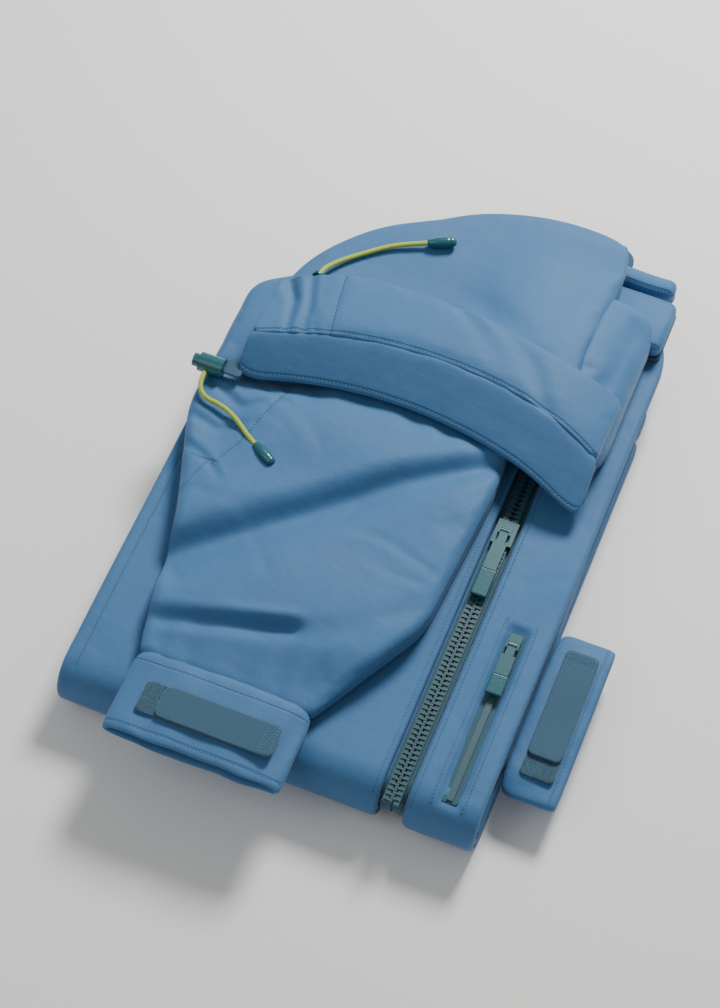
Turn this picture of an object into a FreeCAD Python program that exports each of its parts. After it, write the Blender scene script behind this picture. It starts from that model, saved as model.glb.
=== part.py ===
import FreeCAD, Part
import math
import os
import Sketcher

# A hooded hardshell jacket, zipped and folded flat into a bundle, in millimetres.
# +X is the bundle's right-hand side seen from the front fold, +Y runs from the front fold to the
# neck, +Z is up. The origin is on the underside, on the line that the bundle's width is centred on.
# The torso is folded double at the waist round the left sleeve; the right sleeve lies on the chest
# and the hood is folded forward over the shoulders.

SIZES = {
    # the folded torso
    "bundle_width": 280,
    "front_fold": 165,
    "neck_reach": 245,
    "shoulder_drop": 92,
    "shoulder_slope": 80,
    "corner_cut": 14,
    "front_ply": 8,
    "back_ply": 6,
    "lay_gap": 0.3,
    "hem_reach": 160,
    "hem_width": 22,
    "hem_eyelet_inset": 40,
    # the sleeves and cuffs
    "sleeve_roll": 14,
    "under_ply": 6,
    "over_ply": 12,
    "cuff_width": 118,
    "cuff_depth": 56,
    "cuff_height": 16.5,
    "cuff_wall": 5,
    "cuff_overhang": 22,
    "left_cuff_depth": 37,
    "left_cuff_wall": 4.5,
    "left_cuff_far": -6,
    "left_cuff_closed_end": 8,
    "left_elbow_dip": 20,
    "left_sleeve_inset": 15,
    "elbow_width": 176,
    "elbow_inset": 28,
    "elbow_reach": 55,
    "cuff_shift": 16,
    "under_arm_shift": 10,
    "collar_side_shift": 51,
    "inner_elbow_reach": 40,
    "upper_arm_width": 211,
    "patch_ply": 1,
    "tab_ply": 2,
    "tab_length": 76,
    "tab_width": 22,
    "tab_setback": 12,
    "tab_near": 15,
    "patch_far_lead": 14,
    "patch_near_lead": 22,
    "left_tab_setback": 7,
    "left_tab_far": 14,
    # the front zip
    "zip_centre": 85,
    "zip_channel": 16,
    "zip_top": 190,
    "flap_ply": 1,
    "tape_ply": 0.8,
    "tooth_height": 3,
    "tooth_pitch": 3.6,
    "tooth_land": 1.5,
    "bead_inner": 2,
    "bead_outer": 5.4,
    "tooth_reach": 0.9,
    "open_shift": 2.4,
    "slider_at": 38,
    "slider_length": 18,
    "slider_plate": 1.8,
    "slider_side": 1.2,
    "pin_radius": 0.8,
    "pin_clearance": 0.08,
    "lug_radius": 1.7,
    "puller_length": 30,
    "puller_width": 9,
    "puller_ply": 2,
    "stop_length": 2.5,
    "bottom_box_length": 12,
    "tooth_pad_drop": 0.8,
    "tooth_root_lap": 0.6,
    "ear_half_length": 3,
    "grip_margin": 0.8,
    "grip_cover": 0.5,
    "grip_round": 0.9,
    "grip_length": 20,
    # the chest pocket
    "pocket_zip_centre": 118,
    "pocket_zip_width": 12,
    "pocket_near": 150,
    "pocket_far": 26,
    "pocket_recess": 3,
    "coil_width": 4,
    "coil_height": 1.3,
    "pocket_bag_ply": 1.7,
    "bag_zip_margin": 8,
    "bag_side_margin": 6,
    "pocket_puller_length": 22,
    "pocket_grip_length": 14,
    "pocket_slider_setback": 3,
    # the collar, the yoke and the hanger loop
    "collar_width": 72,
    "collar_depth": 44,
    "collar_height": 15,
    "collar_shift": 15,
    "collar_clearance": 6,
    "collar_lining_ply": 2.2,
    "yoke_width": 110,
    "yoke_depth": 16,
    "yoke_height": 13,
    "yoke_shift": 25,
    "loop_width": 40,
    "loop_reach": 15,
    "loop_band": 6,
    "loop_ply": 3,
    "loop_rise": 4,
    # the hood
    "hood_width": 248,
    "hood_centre": 6,
    "hood_far": 264,
    "hood_near": 104,
    "hood_clearance": 0.6,
    "hood_ply": 13.6,
    "crown_ply": 18,
    "crown_side_ply": 14,
    "seam_clearance": 1,
    "crown_far": 161,
    "side_panel_width": 44,
    "side_reach": 222,
    "side_inset": 10,
    "crown_step": 10,
    # the brim: its seam and its free edge are arches seen from above
    "brim_seam_peak": 116,
    "brim_edge_peak": 86,
    "brim_arch": 19,
    "brim_half_span": 108,
    "brim_seam_centre": 5,
    "brim_edge_centre": -10,
    "brim_seam_rise": 27.2,
    "brim_edge_rise": 9.8,
    "brim_end_drop": 4,
    "brim_turn_down": 10,
    "brim_turn_from": 70,
    "brim_turn_span": 50,
    "brim_ply": 2,
    "brim_layer_gap": 0.6,
    "stiffener_ply": 1,
    "stiffener_inset": 5,
    "brim_lining_ply": 1,
    # the cords and the cord lock
    "cord_diameter": 3.3,
    "cord_clearance": 0.25,
    "end_diameter": 7.5,
    "end_length": 19,
    "lock_radius": 6.5,
    "lock_length": 16.5,
    "lock_hole_from_end": 6,
    "lock_cord_rise": 0.3,
    "lock_cord_lead": 7.5,
    "lock_tab_near": 3,
    "lock_tab_far": 9,
    "lock_bore_radius": 4.6,
    "lock_bore_depth": 14.5,
    "plunger_clearance": 0.1,
    "plunger_length": 14,
    "plunger_proud": 4.5,
    "plunger_travel": 3,
    "spring_wire": 0.5,
    "spring_radius": 3.4,
    "spring_turns": 2,
    "lock_at_x": -135,
    "lock_at_y": 70,
    "eyelet_outer": 4.2,
    "eyelet_ply": 1.6,
}

# The cords' routes, in millimetres: straight runs between these points, joined by tangent arcs.
# Heights are above the sleeve that the hood lies on. The front cord starts in the cord lock.
FRONT_CORD = [
    (-132.0, 49.5, 5.8), (-126.0, 46.0, 4.8), (-117.0, 45.6, 4.0), (-107.5, 42.5, 3.4),
    (-98.0, 36.5, 3.2), (-90.5, 30.5, 3.6), (-83.0, 26.0, 4.0),
]
REAR_CORD = [
    (-91.0, 151.5, 22.2), (-90.6, 158.5, 21.2), (-87.0, 166.5, 19.0), (-79.5, 176.0, 17.4),
    (-69.0, 186.0, 16.8), (-58.0, 195.0, 17.2), (-46.0, 201.5, 18.0), (-34.0, 206.6, 18.6),
]

doc = FreeCAD.newDocument("HardshellJacket")
sheet = doc.addObject("Spreadsheet::Sheet", "Sizes")
for row, (alias, number) in enumerate(SIZES.items(), start=1):
    sheet.set(f"A{row}", alias)
    sheet.set(f"B{row}", str(number))
    sheet.setAlias(f"B{row}", alias)
doc.recompute()

pieces = []


class Dim:
    """A length in millimetres, carried with the expression that ties it to the sheet."""

    def __init__(self, value, text):
        self.value = value
        self.text = text

    def __add__(self, other):
        other = dim(other)
        return Dim(self.value + other.value, f"({self.text} + {other.text})")

    def __radd__(self, other):
        return dim(other) + self

    def __sub__(self, other):
        other = dim(other)
        return Dim(self.value - other.value, f"({self.text} - {other.text})")

    def __rsub__(self, other):
        return dim(other) - self

    def __mul__(self, other):
        other = dim(other)
        return Dim(self.value * other.value, f"({self.text} * {other.text})")

    def __rmul__(self, other):
        return dim(other) * self

    def __truediv__(self, other):
        other = dim(other)
        return Dim(self.value / other.value, f"({self.text} / {other.text})")

    def __neg__(self):
        return Dim(-self.value, f"(-{self.text})")


def dim(number):
    """Turn a bare number into a Dim, and leave a Dim as it is."""
    if isinstance(number, Dim):
        return number
    return Dim(float(number), f"({float(number)})")


def size(alias):
    """The named size from the sheet."""
    return Dim(float(sheet.get(alias)), f"Sizes.{alias}")


def keep(piece, label):
    """Give a finished piece the name that its file gets."""
    piece.Label = label
    pieces.append(piece)
    return piece


# ---------------------------------------------------------------- ways to make a piece

def draw_outline(body, name, role, points, offset):
    """A closed polygon on one of the body's own planes, every corner bound to the sheet."""
    sketch = body.newObject("Sketcher::SketchObject", name)
    plane = next(feature for feature in body.Origin.OriginFeatures if feature.Role == role)
    sketch.AttachmentSupport = [(plane, "")]
    sketch.MapMode = "FlatFace"
    sketch.setExpression(".AttachmentOffset.Base.z", dim(offset).text)
    corners = [(dim(across), dim(along)) for across, along in points]
    count = len(corners)
    for number, (start, end) in enumerate(zip(corners, corners[1:] + corners[:1])):
        from_point = FreeCAD.Vector(start[0].value, start[1].value, 0)
        to_point = FreeCAD.Vector(end[0].value, end[1].value, 0)
        sketch.addGeometry(Part.LineSegment(from_point, to_point), False)
    for number in range(count):
        sketch.addConstraint(Sketcher.Constraint("Coincident", number, 2, (number + 1) % count, 1))
    for number, corner in enumerate(corners):
        for kind, place in zip(("DistanceX", "DistanceY"), corner):
            bound = sketch.addConstraint(Sketcher.Constraint(kind, -1, 1, number, 1, place.value))
            sketch.renameConstraint(bound, f"{kind}{number}")
            sketch.setExpression(f"Constraints.{kind}{number}", place.text)
    return sketch


def flat_body(label, layers, pockets=()):
    """A sewn piece of flat layers, each (outline, underside, thickness), with pockets cut down
    from a height, each (outline, top, depth)."""
    body = doc.addObject("PartDesign::Body", label)
    for number, (outline, underside, thickness) in enumerate(layers):
        sketch = draw_outline(body, f"{label}_outline_{number}", "XY_Plane", outline, underside)
        pad = body.newObject("PartDesign::Pad", f"{label}_layer_{number}")
        pad.Profile = sketch
        pad.setExpression("Length", dim(thickness).text)
    for number, (outline, top, depth) in enumerate(pockets):
        doc.recompute()
        whole = body.Shape.Volume
        sketch = draw_outline(body, f"{label}_cut_{number}", "XY_Plane", outline, top)
        pocket = body.newObject("PartDesign::Pocket", f"{label}_pocket_{number}")
        pocket.Profile = sketch
        pocket.setExpression("Length", dim(depth).text)
        doc.recompute()
        if body.Shape.Volume > whole - 1:
            raise RuntimeError(f"{label}: pocket {number} cut nothing")
    return body


def lofted_body(label, stations):
    """A strip lofted through upright sections, each (x, corners in Y and Z)."""
    body = doc.addObject("PartDesign::Body", label)
    sections = []
    for number, (across, corners) in enumerate(stations):
        name = f"{label}_section_{number}"
        sections.append(draw_outline(body, name, "YZ_Plane", corners, across))
    loft = body.newObject("PartDesign::AdditiveLoft", f"{label}_loft")
    loft.Profile = sections[0]
    loft.Sections = sections[1:]
    loft.Ruled = True
    return body


def rectangle(x_span, y_span):
    """The corners of a rectangle between two (low, high) pairs."""
    (left, right), (near, far) = x_span, y_span
    return [(left, near), (right, near), (right, far), (left, far)]


def block(name, x_span, y_span, z_span):
    """A box between three (low, high) pairs."""
    box = doc.addObject("Part::Box", name)
    spans = (("Length", "x", x_span), ("Width", "y", y_span), ("Height", "z", z_span))
    for side, letter, (low, high) in spans:
        box.setExpression(side, (dim(high) - low).text)
        box.setExpression(f"Placement.Base.{letter}", dim(low).text)
    return box


TURN_TO = {
    "x": FreeCAD.Rotation(FreeCAD.Vector(0, 1, 0), 90),
    "y": FreeCAD.Rotation(FreeCAD.Vector(1, 0, 0), -90),
    "z": FreeCAD.Rotation(),
}


def rod(name, start, radius, length, axis):
    """A cylinder that runs from its start along +X, +Y or +Z."""
    cylinder = doc.addObject("Part::Cylinder", name)
    cylinder.setExpression("Radius", dim(radius).text)
    cylinder.setExpression("Height", dim(length).text)
    cylinder.Placement = FreeCAD.Placement(FreeCAD.Vector(), TURN_TO[axis])
    for letter, place in zip("xyz", start):
        cylinder.setExpression(f"Placement.Base.{letter}", dim(place).text)
    return cylinder


def joined(name, *shapes):
    """Several shapes made one piece."""
    whole = doc.addObject("Part::MultiFuse", name)
    whole.Shapes = list(shapes)
    return whole


def cut_from(name, base, *tools):
    """The base with the tools taken out of it."""
    tool = tools[0] if len(tools) == 1 else joined(f"{name}_tools", *tools)
    rest = doc.addObject("Part::Cut", name)
    rest.Base = base
    rest.Tool = tool
    return rest


def rounded(name, base, radius):
    """The base with every edge rounded."""
    doc.recompute()
    soft = doc.addObject("Part::Fillet", name)
    soft.Base = base
    soft.Edges = [(number + 1, radius.value, radius.value) for number in range(len(base.Shape.Edges))]
    return soft


# ---------------------------------------------------------------- heights and edges

gap = size("lay_gap")
front_ply = size("front_ply")
back_ply = size("back_ply")
half_width = size("bundle_width") / 2
corner = size("corner_cut")

left_sleeve_low = front_ply + gap + back_ply + gap
left_sleeve_high = left_sleeve_low + size("sleeve_roll")
torso_height = left_sleeve_high + gap + back_ply + gap + front_ply
under_low = torso_height + gap
over_low = under_low + size("under_ply") + gap
sleeve_top = over_low + size("over_ply")
front_edge = -size("front_fold")
neck = size("neck_reach")

channel_left = size("zip_centre") - size("zip_channel") / 2
channel_right = size("zip_centre") + size("zip_channel") / 2


# ---------------------------------------------------------------- the torso

def wrapped(label, x_low, x_high, inset, ply, upper_outline, lower_end, pockets=()):
    """A ply of the torso: it runs under the bundle, up round the front fold and back over the top.
    The inset is how far it lies inside the torso's outer face."""
    inset = dim(inset)
    fold = front_edge + inset
    lower = rectangle((x_low, x_high), (fold, lower_end))
    wall = rectangle((x_low, x_high), (fold, fold + ply))
    wall_height = torso_height - inset * 2
    top_side = torso_height - inset - ply
    layers = [(lower, inset, ply), (wall, inset, wall_height), (upper_outline, top_side, ply)]
    return flat_body(label, layers, pockets)


shoulder_tip = neck - size("shoulder_drop")
slope_end = -half_width + size("shoulder_slope")

right_front_outline = [
    (-half_width, front_edge), (channel_left, front_edge), (channel_left, neck - corner),
    (channel_left - corner * 4, neck), (slope_end, neck - corner * 2.5), (-half_width, shoulder_tip),
]
keep(wrapped("right_front_panel", -half_width, channel_left, 0, front_ply, right_front_outline,
             size("hem_reach")), "right_front_panel")

pocket_left = size("pocket_zip_centre") - size("pocket_zip_width") / 2
pocket_right = size("pocket_zip_centre") + size("pocket_zip_width") / 2
pocket_span = (-size("pocket_near"), -size("pocket_far"))
recess_floor = torso_height - size("pocket_recess")
bag_top = torso_height - front_ply + size("pocket_bag_ply") + gap

left_front_outline = [
    (channel_right, front_edge), (half_width, front_edge), (half_width, neck - corner * 2.5),
    (half_width - corner, neck - corner), (channel_right, neck - corner),
]
bag_span = (channel_right + size("bag_zip_margin"), half_width - size("bag_side_margin"))
recess = (rectangle((pocket_left, pocket_right), pocket_span), torso_height, size("pocket_recess"))
bag_room = (rectangle(bag_span, pocket_span), bag_top, size("pocket_bag_ply") + gap)
keep(wrapped("left_front_panel", channel_right, half_width, 0, front_ply, left_front_outline,
             size("hem_reach"), (recess, bag_room)), "left_front_panel")

back_outline = [
    (-half_width + 1, front_edge + front_ply + gap), (half_width - 1, front_edge + front_ply + gap),
    (half_width - 1, neck - corner * 2.5), (half_width - corner, neck - 1),
    (slope_end + corner * 6, neck - 1), (slope_end, neck - corner * 2.5),
    (-half_width + 1, shoulder_tip),
]
keep(wrapped("back_panel", -half_width + 1, half_width - 1, front_ply + gap, back_ply, back_outline,
             size("hem_reach")), "back_panel")

hem_near = size("hem_reach") + gap
hem_far = hem_near + size("hem_width")
hem_height = front_ply + gap + back_ply
keep(block("hem_band", (-half_width + 1, half_width - 1), (hem_near, hem_far), (0, hem_height)),
     "hem_band")


def eyelet_ring(name, centre, hole_radius):
    """A flat ring about +Y, standing on the face that its centre is on."""
    ring = rod(f"{name}_ring", centre, size("eyelet_outer"), size("eyelet_ply"), "y")
    hole = rod(f"{name}_hole", centre, hole_radius, size("eyelet_ply"), "y")
    return cut_from(name, ring, hole)


cord_hole = size("cord_diameter") / 2 + size("cord_clearance")
hem_rings = []
for side, sign in (("right", -1), ("left", 1)):
    place = (sign * (half_width - size("hem_eyelet_inset")), hem_far, hem_height / 2)
    hem_rings.append(eyelet_ring(f"hem_eyelet_{side}", place, cord_hole))
keep(joined("hem_eyelets", *hem_rings), "hem_eyelets")

# ---------------------------------------------------------------- the front zip

tape_inset = front_ply - size("flap_ply") - gap - size("tape_ply")
tape_top = torso_height - tape_inset
tooth_top = tape_top + size("tooth_height")
zip_x = size("zip_centre")
tape_far = size("zip_top") + 3


def strip_outline(x_low, x_high, inset, far):
    """The top run of a strip that wraps the front fold."""
    return rectangle((x_low, x_high), (front_edge + inset, far))


flap_span = (channel_left + gap, channel_right - gap)
keep(wrapped("storm_flap", flap_span[0], flap_span[1], front_ply - size("flap_ply"),
             size("flap_ply"), strip_outline(flap_span[0], flap_span[1],
                                             front_ply - size("flap_ply"), tape_far),
             size("hem_reach")), "storm_flap")

for side, sign in (("right", -1), ("left", 1)):
    inner = zip_x + sign * 0.8
    outer = zip_x + sign * (size("zip_channel") / 2 - gap)
    low, high = (outer, inner) if sign < 0 else (inner, outer)
    label = f"front_zip_tape_{side}"
    keep(wrapped(label, low, high, tape_inset, size("tape_ply"),
                 strip_outline(low, high, tape_inset, tape_far), size("hem_reach")), label)

slider_low = size("slider_at") - size("slider_length") / 2
slider_high = size("slider_at") + size("slider_length") / 2
teeth_near = front_edge + 4


def tooth_row(side, sign):
    """One side of the chain: a bead with its moulded teeth, meshed below the slider and standing
    apart above it."""
    label = f"front_zip_teeth_{side}"
    body = doc.addObject("PartDesign::Body", label)
    inner = zip_x + sign * size("bead_inner")
    outer = zip_x + sign * size("bead_outer")
    start = teeth_near if sign < 0 else teeth_near + size("tooth_pitch") / 2
    bead = draw_outline(body, f"{label}_bead", "XY_Plane",
                        rectangle((inner, outer), (teeth_near - 1, size("zip_top"))), tape_top)
    pad = body.newObject("PartDesign::Pad", f"{label}_bead_pad")
    pad.Profile = bead
    pad.setExpression("Length", (size("tooth_height") - size("tooth_pad_drop")).text)
    runs = (("meshed", start, slider_low - 1, -size("tooth_reach")),
            ("open", slider_high + 1, size("zip_top") - 1,
             size("open_shift") - size("tooth_reach") - 1))
    for name, near, far, reach in runs:
        tip = zip_x + sign * reach
        root = zip_x + sign * (size("bead_outer") - size("tooth_root_lap"))
        outline = rectangle((tip, root), (near, near + size("tooth_land")))
        sketch = draw_outline(body, f"{label}_{name}", "XY_Plane", outline, tape_top)
        tooth = body.newObject("PartDesign::Pad", f"{label}_{name}_tooth")
        tooth.Profile = sketch
        tooth.setExpression("Length", size("tooth_height").text)
        doc.recompute()
        pattern = body.newObject("PartDesign::LinearPattern", f"{label}_{name}_row")
        pattern.Originals = [tooth]
        pattern.Direction = (sketch, ["V_Axis"])
        count = f"floor(({(far - near).text} - Sizes.tooth_land) / Sizes.tooth_pitch) + 1"
        pattern.setExpression("Occurrences", count)
        pattern.setExpression("Length", f"(({count}) - 1) * Sizes.tooth_pitch")
        body.Tip = pattern
        doc.recompute()
    return keep(body, label)


tooth_row("right", -1)
tooth_row("left", 1)

stops = []
for side, sign in (("right", -1), ("left", 1)):
    edges = (zip_x + sign * size("bead_inner"), zip_x + sign * size("bead_outer"))
    span = edges if sign > 0 else edges[::-1]
    stops.append(block(f"top_stop_{side}", span,
                       (size("zip_top") + gap, size("zip_top") + gap + size("stop_length")),
                       (tape_top, tooth_top)))
keep(joined("front_zip_top_stops", *stops), "front_zip_top_stops")

keep(block("front_zip_bottom_box", (zip_x - size("bead_outer"), zip_x + size("bead_outer")),
           (size("hem_reach") - 1 - size("bottom_box_length"), size("hem_reach") - 1),
           (tape_inset - size("tooth_height") - 1, tape_inset)), "front_zip_bottom_box")


def zip_slider(name, x, y, floor, chain_top, half_chain, clear):
    """A slider that straddles the chain: a plate with turned-down sides, two ears and the pin that
    its puller swings on. The floor is the top of the tape."""
    half = half_chain + clear + size("slider_side")
    y_span = (y - size("slider_length") / 2, y + size("slider_length") / 2)
    plate_low = chain_top + gap
    plate_high = plate_low + size("slider_plate")
    plate = block(f"{name}_plate", (x - half, x + half), y_span, (plate_low, plate_high))
    sides = []
    for side, sign in (("right", -1), ("left", 1)):
        near_edge = x + sign * (half_chain + clear)
        far_edge = x + sign * half
        span = (near_edge, far_edge) if sign > 0 else (far_edge, near_edge)
        sides.append(block(f"{name}_side_{side}", span, y_span, (floor + gap, plate_high)))
    pin_height = plate_high + gap + size("lug_radius")
    ear_inner = size("puller_width") / 4 + gap + 0.5
    ear_half = size("ear_half_length")
    ears = []
    for side, sign in (("right", -1), ("left", 1)):
        edges = (x + sign * ear_inner, x + sign * (ear_inner + size("slider_side")))
        span = edges if sign > 0 else edges[::-1]
        ears.append(block(f"{name}_ear_{side}", span, (y - ear_half, y + ear_half),
                          (plate_high - 0.5, pin_height + size("lug_radius"))))
    pin = rod(f"{name}_pin", (x - ear_inner - 0.5, y, pin_height), size("pin_radius"),
              (ear_inner + 0.5) * 2, "x")
    keep(joined(name, plate, *sides, *ears, pin), name)
    return pin_height, ear_inner


def zip_puller(name, x, y, pin_height, ear_inner, length, grip_length):
    """A flat pull that swings on the slider's pin and lies towards the front fold."""
    half_lug = ear_inner - gap
    lug = rod(f"{name}_lug", (x - half_lug, y, pin_height), size("lug_radius"), half_lug * 2, "x")
    half_ply = size("puller_ply") / 2
    arm = block(f"{name}_arm", (x - half_lug, x + half_lug), (y - length / 2, y),
                (pin_height - half_ply, pin_height + half_ply))
    tab = block(f"{name}_tab", (x - size("puller_width") / 2, x + size("puller_width") / 2),
                (y - length, y - length * 0.35), (pin_height - half_ply, pin_height + half_ply))
    hole = rod(f"{name}_hole", (x - half_lug - 1, y, pin_height),
               size("pin_radius") + size("pin_clearance"), half_lug * 2 + 2, "x")
    keep(cut_from(name, joined(f"{name}_blank", lug, arm, tab), hole), name)
    grip_far = y - length - gap
    half_grip = size("puller_width") / 2 + size("grip_margin")
    grip_rise = half_ply + size("grip_cover")
    grip = block(f"{name}_grip_blank",
                 (x - half_grip, x + half_grip),
                 (grip_far - grip_length, grip_far),
                 (pin_height - grip_rise, pin_height + grip_rise))
    keep(rounded(f"{name}_grip", grip, size("grip_round")), f"{name}_grip")


pin_high, ear_at = zip_slider("front_zip_slider", zip_x, size("slider_at"), tape_top, tooth_top,
                              size("bead_outer"), gap)
zip_puller("front_zip_puller", zip_x, size("slider_at"), pin_high, ear_at, size("puller_length"),
           size("grip_length"))

# ---------------------------------------------------------------- the chest pocket

pocket_x = size("pocket_zip_centre")
pocket_tape_top = recess_floor + size("tape_ply")
for side, sign in (("right", -1), ("left", 1)):
    edges = (pocket_x + sign * 0.3, pocket_x + sign * (size("pocket_zip_width") / 2 - gap))
    span = edges if sign > 0 else edges[::-1]
    label = f"pocket_zip_tape_{side}"
    keep(block(label, span, (pocket_span[0] + gap, pocket_span[1] - gap),
               (recess_floor, pocket_tape_top)), label)

coil_top = pocket_tape_top + size("coil_height")
keep(block("pocket_zip_coil", (pocket_x - size("coil_width") / 2, pocket_x + size("coil_width") / 2),
           (pocket_span[0] + 2, pocket_span[1] - 2), (pocket_tape_top, coil_top)), "pocket_zip_coil")
pocket_slider_y = pocket_span[1] - size("slider_length") / 2 - size("pocket_slider_setback")
pocket_pin, pocket_ear = zip_slider("pocket_zip_slider", pocket_x, pocket_slider_y, pocket_tape_top,
                                    coil_top, size("coil_width") / 2 + gap * 2, gap)
zip_puller("pocket_zip_puller", pocket_x, pocket_slider_y, pocket_pin, pocket_ear,
           size("pocket_puller_length"), size("pocket_grip_length"))

keep(block("pocket_bag", (bag_span[0] + gap, bag_span[1] - gap),
           (pocket_span[0] + gap, pocket_span[1] - gap),
           (bag_top - size("pocket_bag_ply") - gap, bag_top - gap)), "pocket_bag")

# ---------------------------------------------------------------- collar, yoke and hanger loop

collar_x = zip_x + size("collar_shift")
collar_span = (collar_x - size("collar_width") / 2, collar_x + size("collar_width") / 2)
collar_near = size("zip_top") + size("collar_clearance")
collar_y = (collar_near, collar_near + size("collar_depth"))
collar_low = torso_height + gap + size("collar_lining_ply") + gap
keep(block("collar_lining", (collar_span[0] + 2, collar_span[1] - 2), (collar_y[0] + 2, collar_y[1] - 2),
           (torso_height + gap, collar_low - gap)), "collar_lining")
keep(block("collar", collar_span, collar_y, (collar_low, collar_low + size("collar_height"))), "collar")

yoke_x = collar_x - size("yoke_shift")
yoke_span = (yoke_x - size("yoke_width") / 2, yoke_x + size("yoke_width") / 2)
yoke_y = (neck + gap, neck + gap + size("yoke_depth"))
yoke_low = torso_height - front_ply
keep(block("back_yoke", yoke_span, yoke_y, (yoke_low, torso_height + size("yoke_height"))), "back_yoke")

loop_near = yoke_y[1] + gap
loop_span = (yoke_x - size("loop_width") / 2, yoke_x + size("loop_width") / 2)
loop_high = torso_height + size("loop_rise")
loop_outer = block("hanger_loop_outer", loop_span, (loop_near, loop_near + size("loop_reach")),
                   (loop_high - size("loop_ply"), loop_high))
loop_inner = block("hanger_loop_inner",
                   (loop_span[0] + size("loop_band"), loop_span[1] - size("loop_band")),
                   (loop_near - 1, loop_near + size("loop_reach") - size("loop_band")),
                   (loop_high - size("loop_ply") - 1, loop_high + 1))
keep(cut_from("hanger_loop", loop_outer, loop_inner), "hanger_loop")

# ---------------------------------------------------------------- the sleeves and cuffs

arm_left = -half_width + 1
arm_right = arm_left + size("upper_arm_width")
elbow_left = arm_left + size("elbow_inset")
cuff_right_x = elbow_left + size("cuff_width") + size("cuff_shift")
cuff_left_x = cuff_right_x - size("cuff_width")
cuff_near = front_edge - size("cuff_overhang")
cuff_far = cuff_near + size("cuff_depth")
sleeve_outline = [
    (cuff_left_x, cuff_far + gap), (cuff_right_x, cuff_far + gap),
    (elbow_left + size("elbow_width"), -size("elbow_reach")), (arm_right, size("elbow_reach")),
    (arm_right - size("under_arm_shift"), shoulder_tip),
    (arm_right - size("collar_side_shift"), neck - corner),
    (slope_end, neck - corner * 3), (arm_left, shoulder_tip - 3),
    (arm_left, size("inner_elbow_reach")), (elbow_left, -size("inner_elbow_reach")),
]
keep(flat_body("right_sleeve_under", [(sleeve_outline, under_low, size("under_ply"))]),
     "right_sleeve_under")
keep(flat_body("right_sleeve_upper", [(sleeve_outline, over_low, size("over_ply"))]),
     "right_sleeve_upper")


def cuff(name, x_span, y_span, z_span, hollow_x, hollow_y, wall):
    """A flattened cuff with its mouth open at one end."""
    shell = block(f"{name}_shell", x_span, y_span, z_span)
    hollow = block(f"{name}_hollow", hollow_x, hollow_y, (z_span[0] + wall, z_span[1] - wall))
    return keep(cut_from(name, shell, hollow), name)


right_cuff_z = (under_low, under_low + size("cuff_height"))
wall = size("cuff_wall")
cuff("right_cuff", (cuff_left_x, cuff_right_x), (cuff_near, cuff_far), right_cuff_z,
     (cuff_left_x + wall, cuff_right_x - wall), (cuff_near - 1, cuff_far - wall * 3), wall)

tab_end_x = cuff_right_x - size("tab_setback")
patch_x = (tab_end_x - size("tab_length"), tab_end_x)
tab_near = cuff_near + size("tab_near")
tab_y = (tab_near, tab_near + size("tab_width"))
patch_low = right_cuff_z[1] + gap
tab_low = patch_low + size("patch_ply") + gap
keep(block("right_cuff_loop_patch",
           (patch_x[0] - size("patch_far_lead"), patch_x[1] - size("patch_near_lead")), tab_y,
           (patch_low, patch_low + size("patch_ply"))), "right_cuff_loop_patch")
keep(block("right_cuff_tab", patch_x, tab_y, (tab_low, tab_low + size("tab_ply"))), "right_cuff_tab")

left_cuff_y = (size("left_cuff_far") - size("cuff_width"), size("left_cuff_far"))
left_cuff_x = (half_width + 1, half_width + 1 + size("left_cuff_depth"))
left_sleeve_z = (left_sleeve_low, left_sleeve_high)
left_arm_end = -half_width + size("left_sleeve_inset")
left_elbow_x = cuff_right_x + 17
left_dip = size("left_elbow_dip")
left_sleeve_outline = [
    (left_arm_end, left_cuff_y[0] + 14), (left_elbow_x, left_cuff_y[0] - left_dip),
    (left_cuff_x[0] - gap, left_cuff_y[0]), (left_cuff_x[0] - gap, left_cuff_y[1]),
    (half_width - 6, neck - 45), (left_elbow_x - left_dip, neck - 40),
    (left_arm_end, shoulder_tip - 70),
]
keep(flat_body("left_sleeve", [(left_sleeve_outline, left_sleeve_low, size("sleeve_roll"))]),
     "left_sleeve")
left_wall = size("left_cuff_wall")
cuff("left_cuff", left_cuff_x, left_cuff_y, left_sleeve_z, 
     (left_cuff_x[0] + size("left_cuff_closed_end"), left_cuff_x[1] + 1),
     (left_cuff_y[0] + left_wall, left_cuff_y[1] - left_wall), left_wall)

left_tab_edge = left_cuff_x[1] - size("left_tab_setback")
left_tab_x = (left_tab_edge - size("tab_width"), left_tab_edge)
left_tab_far = left_cuff_y[1] - size("left_tab_far")
left_tab_y = (left_tab_far - size("tab_length"), left_tab_far)
left_patch_low = left_sleeve_high + gap
left_tab_low = left_patch_low + size("patch_ply") + gap
keep(block("left_cuff_loop_patch", left_tab_x,
           (left_tab_y[0] - size("patch_far_lead"), left_tab_y[1] - size("patch_near_lead")),
           (left_patch_low, left_patch_low + size("patch_ply"))), "left_cuff_loop_patch")
keep(block("left_cuff_tab", left_tab_x, left_tab_y, (left_tab_low, left_tab_low + size("tab_ply"))),
     "left_cuff_tab")

# ---------------------------------------------------------------- the hood

hood_low = sleeve_top + size("hood_clearance")
hood_top = hood_low + size("hood_ply")
hood_left = size("hood_centre") - size("hood_width") / 2
hood_right = size("hood_centre") + size("hood_width") / 2
hood_far = size("hood_far")
side_inner = hood_right - size("side_panel_width") + size("side_inset")
crown_low = hood_top + gap
crown_left = hood_left + size("side_panel_width")
crown_right = hood_right - size("side_panel_width")

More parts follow.
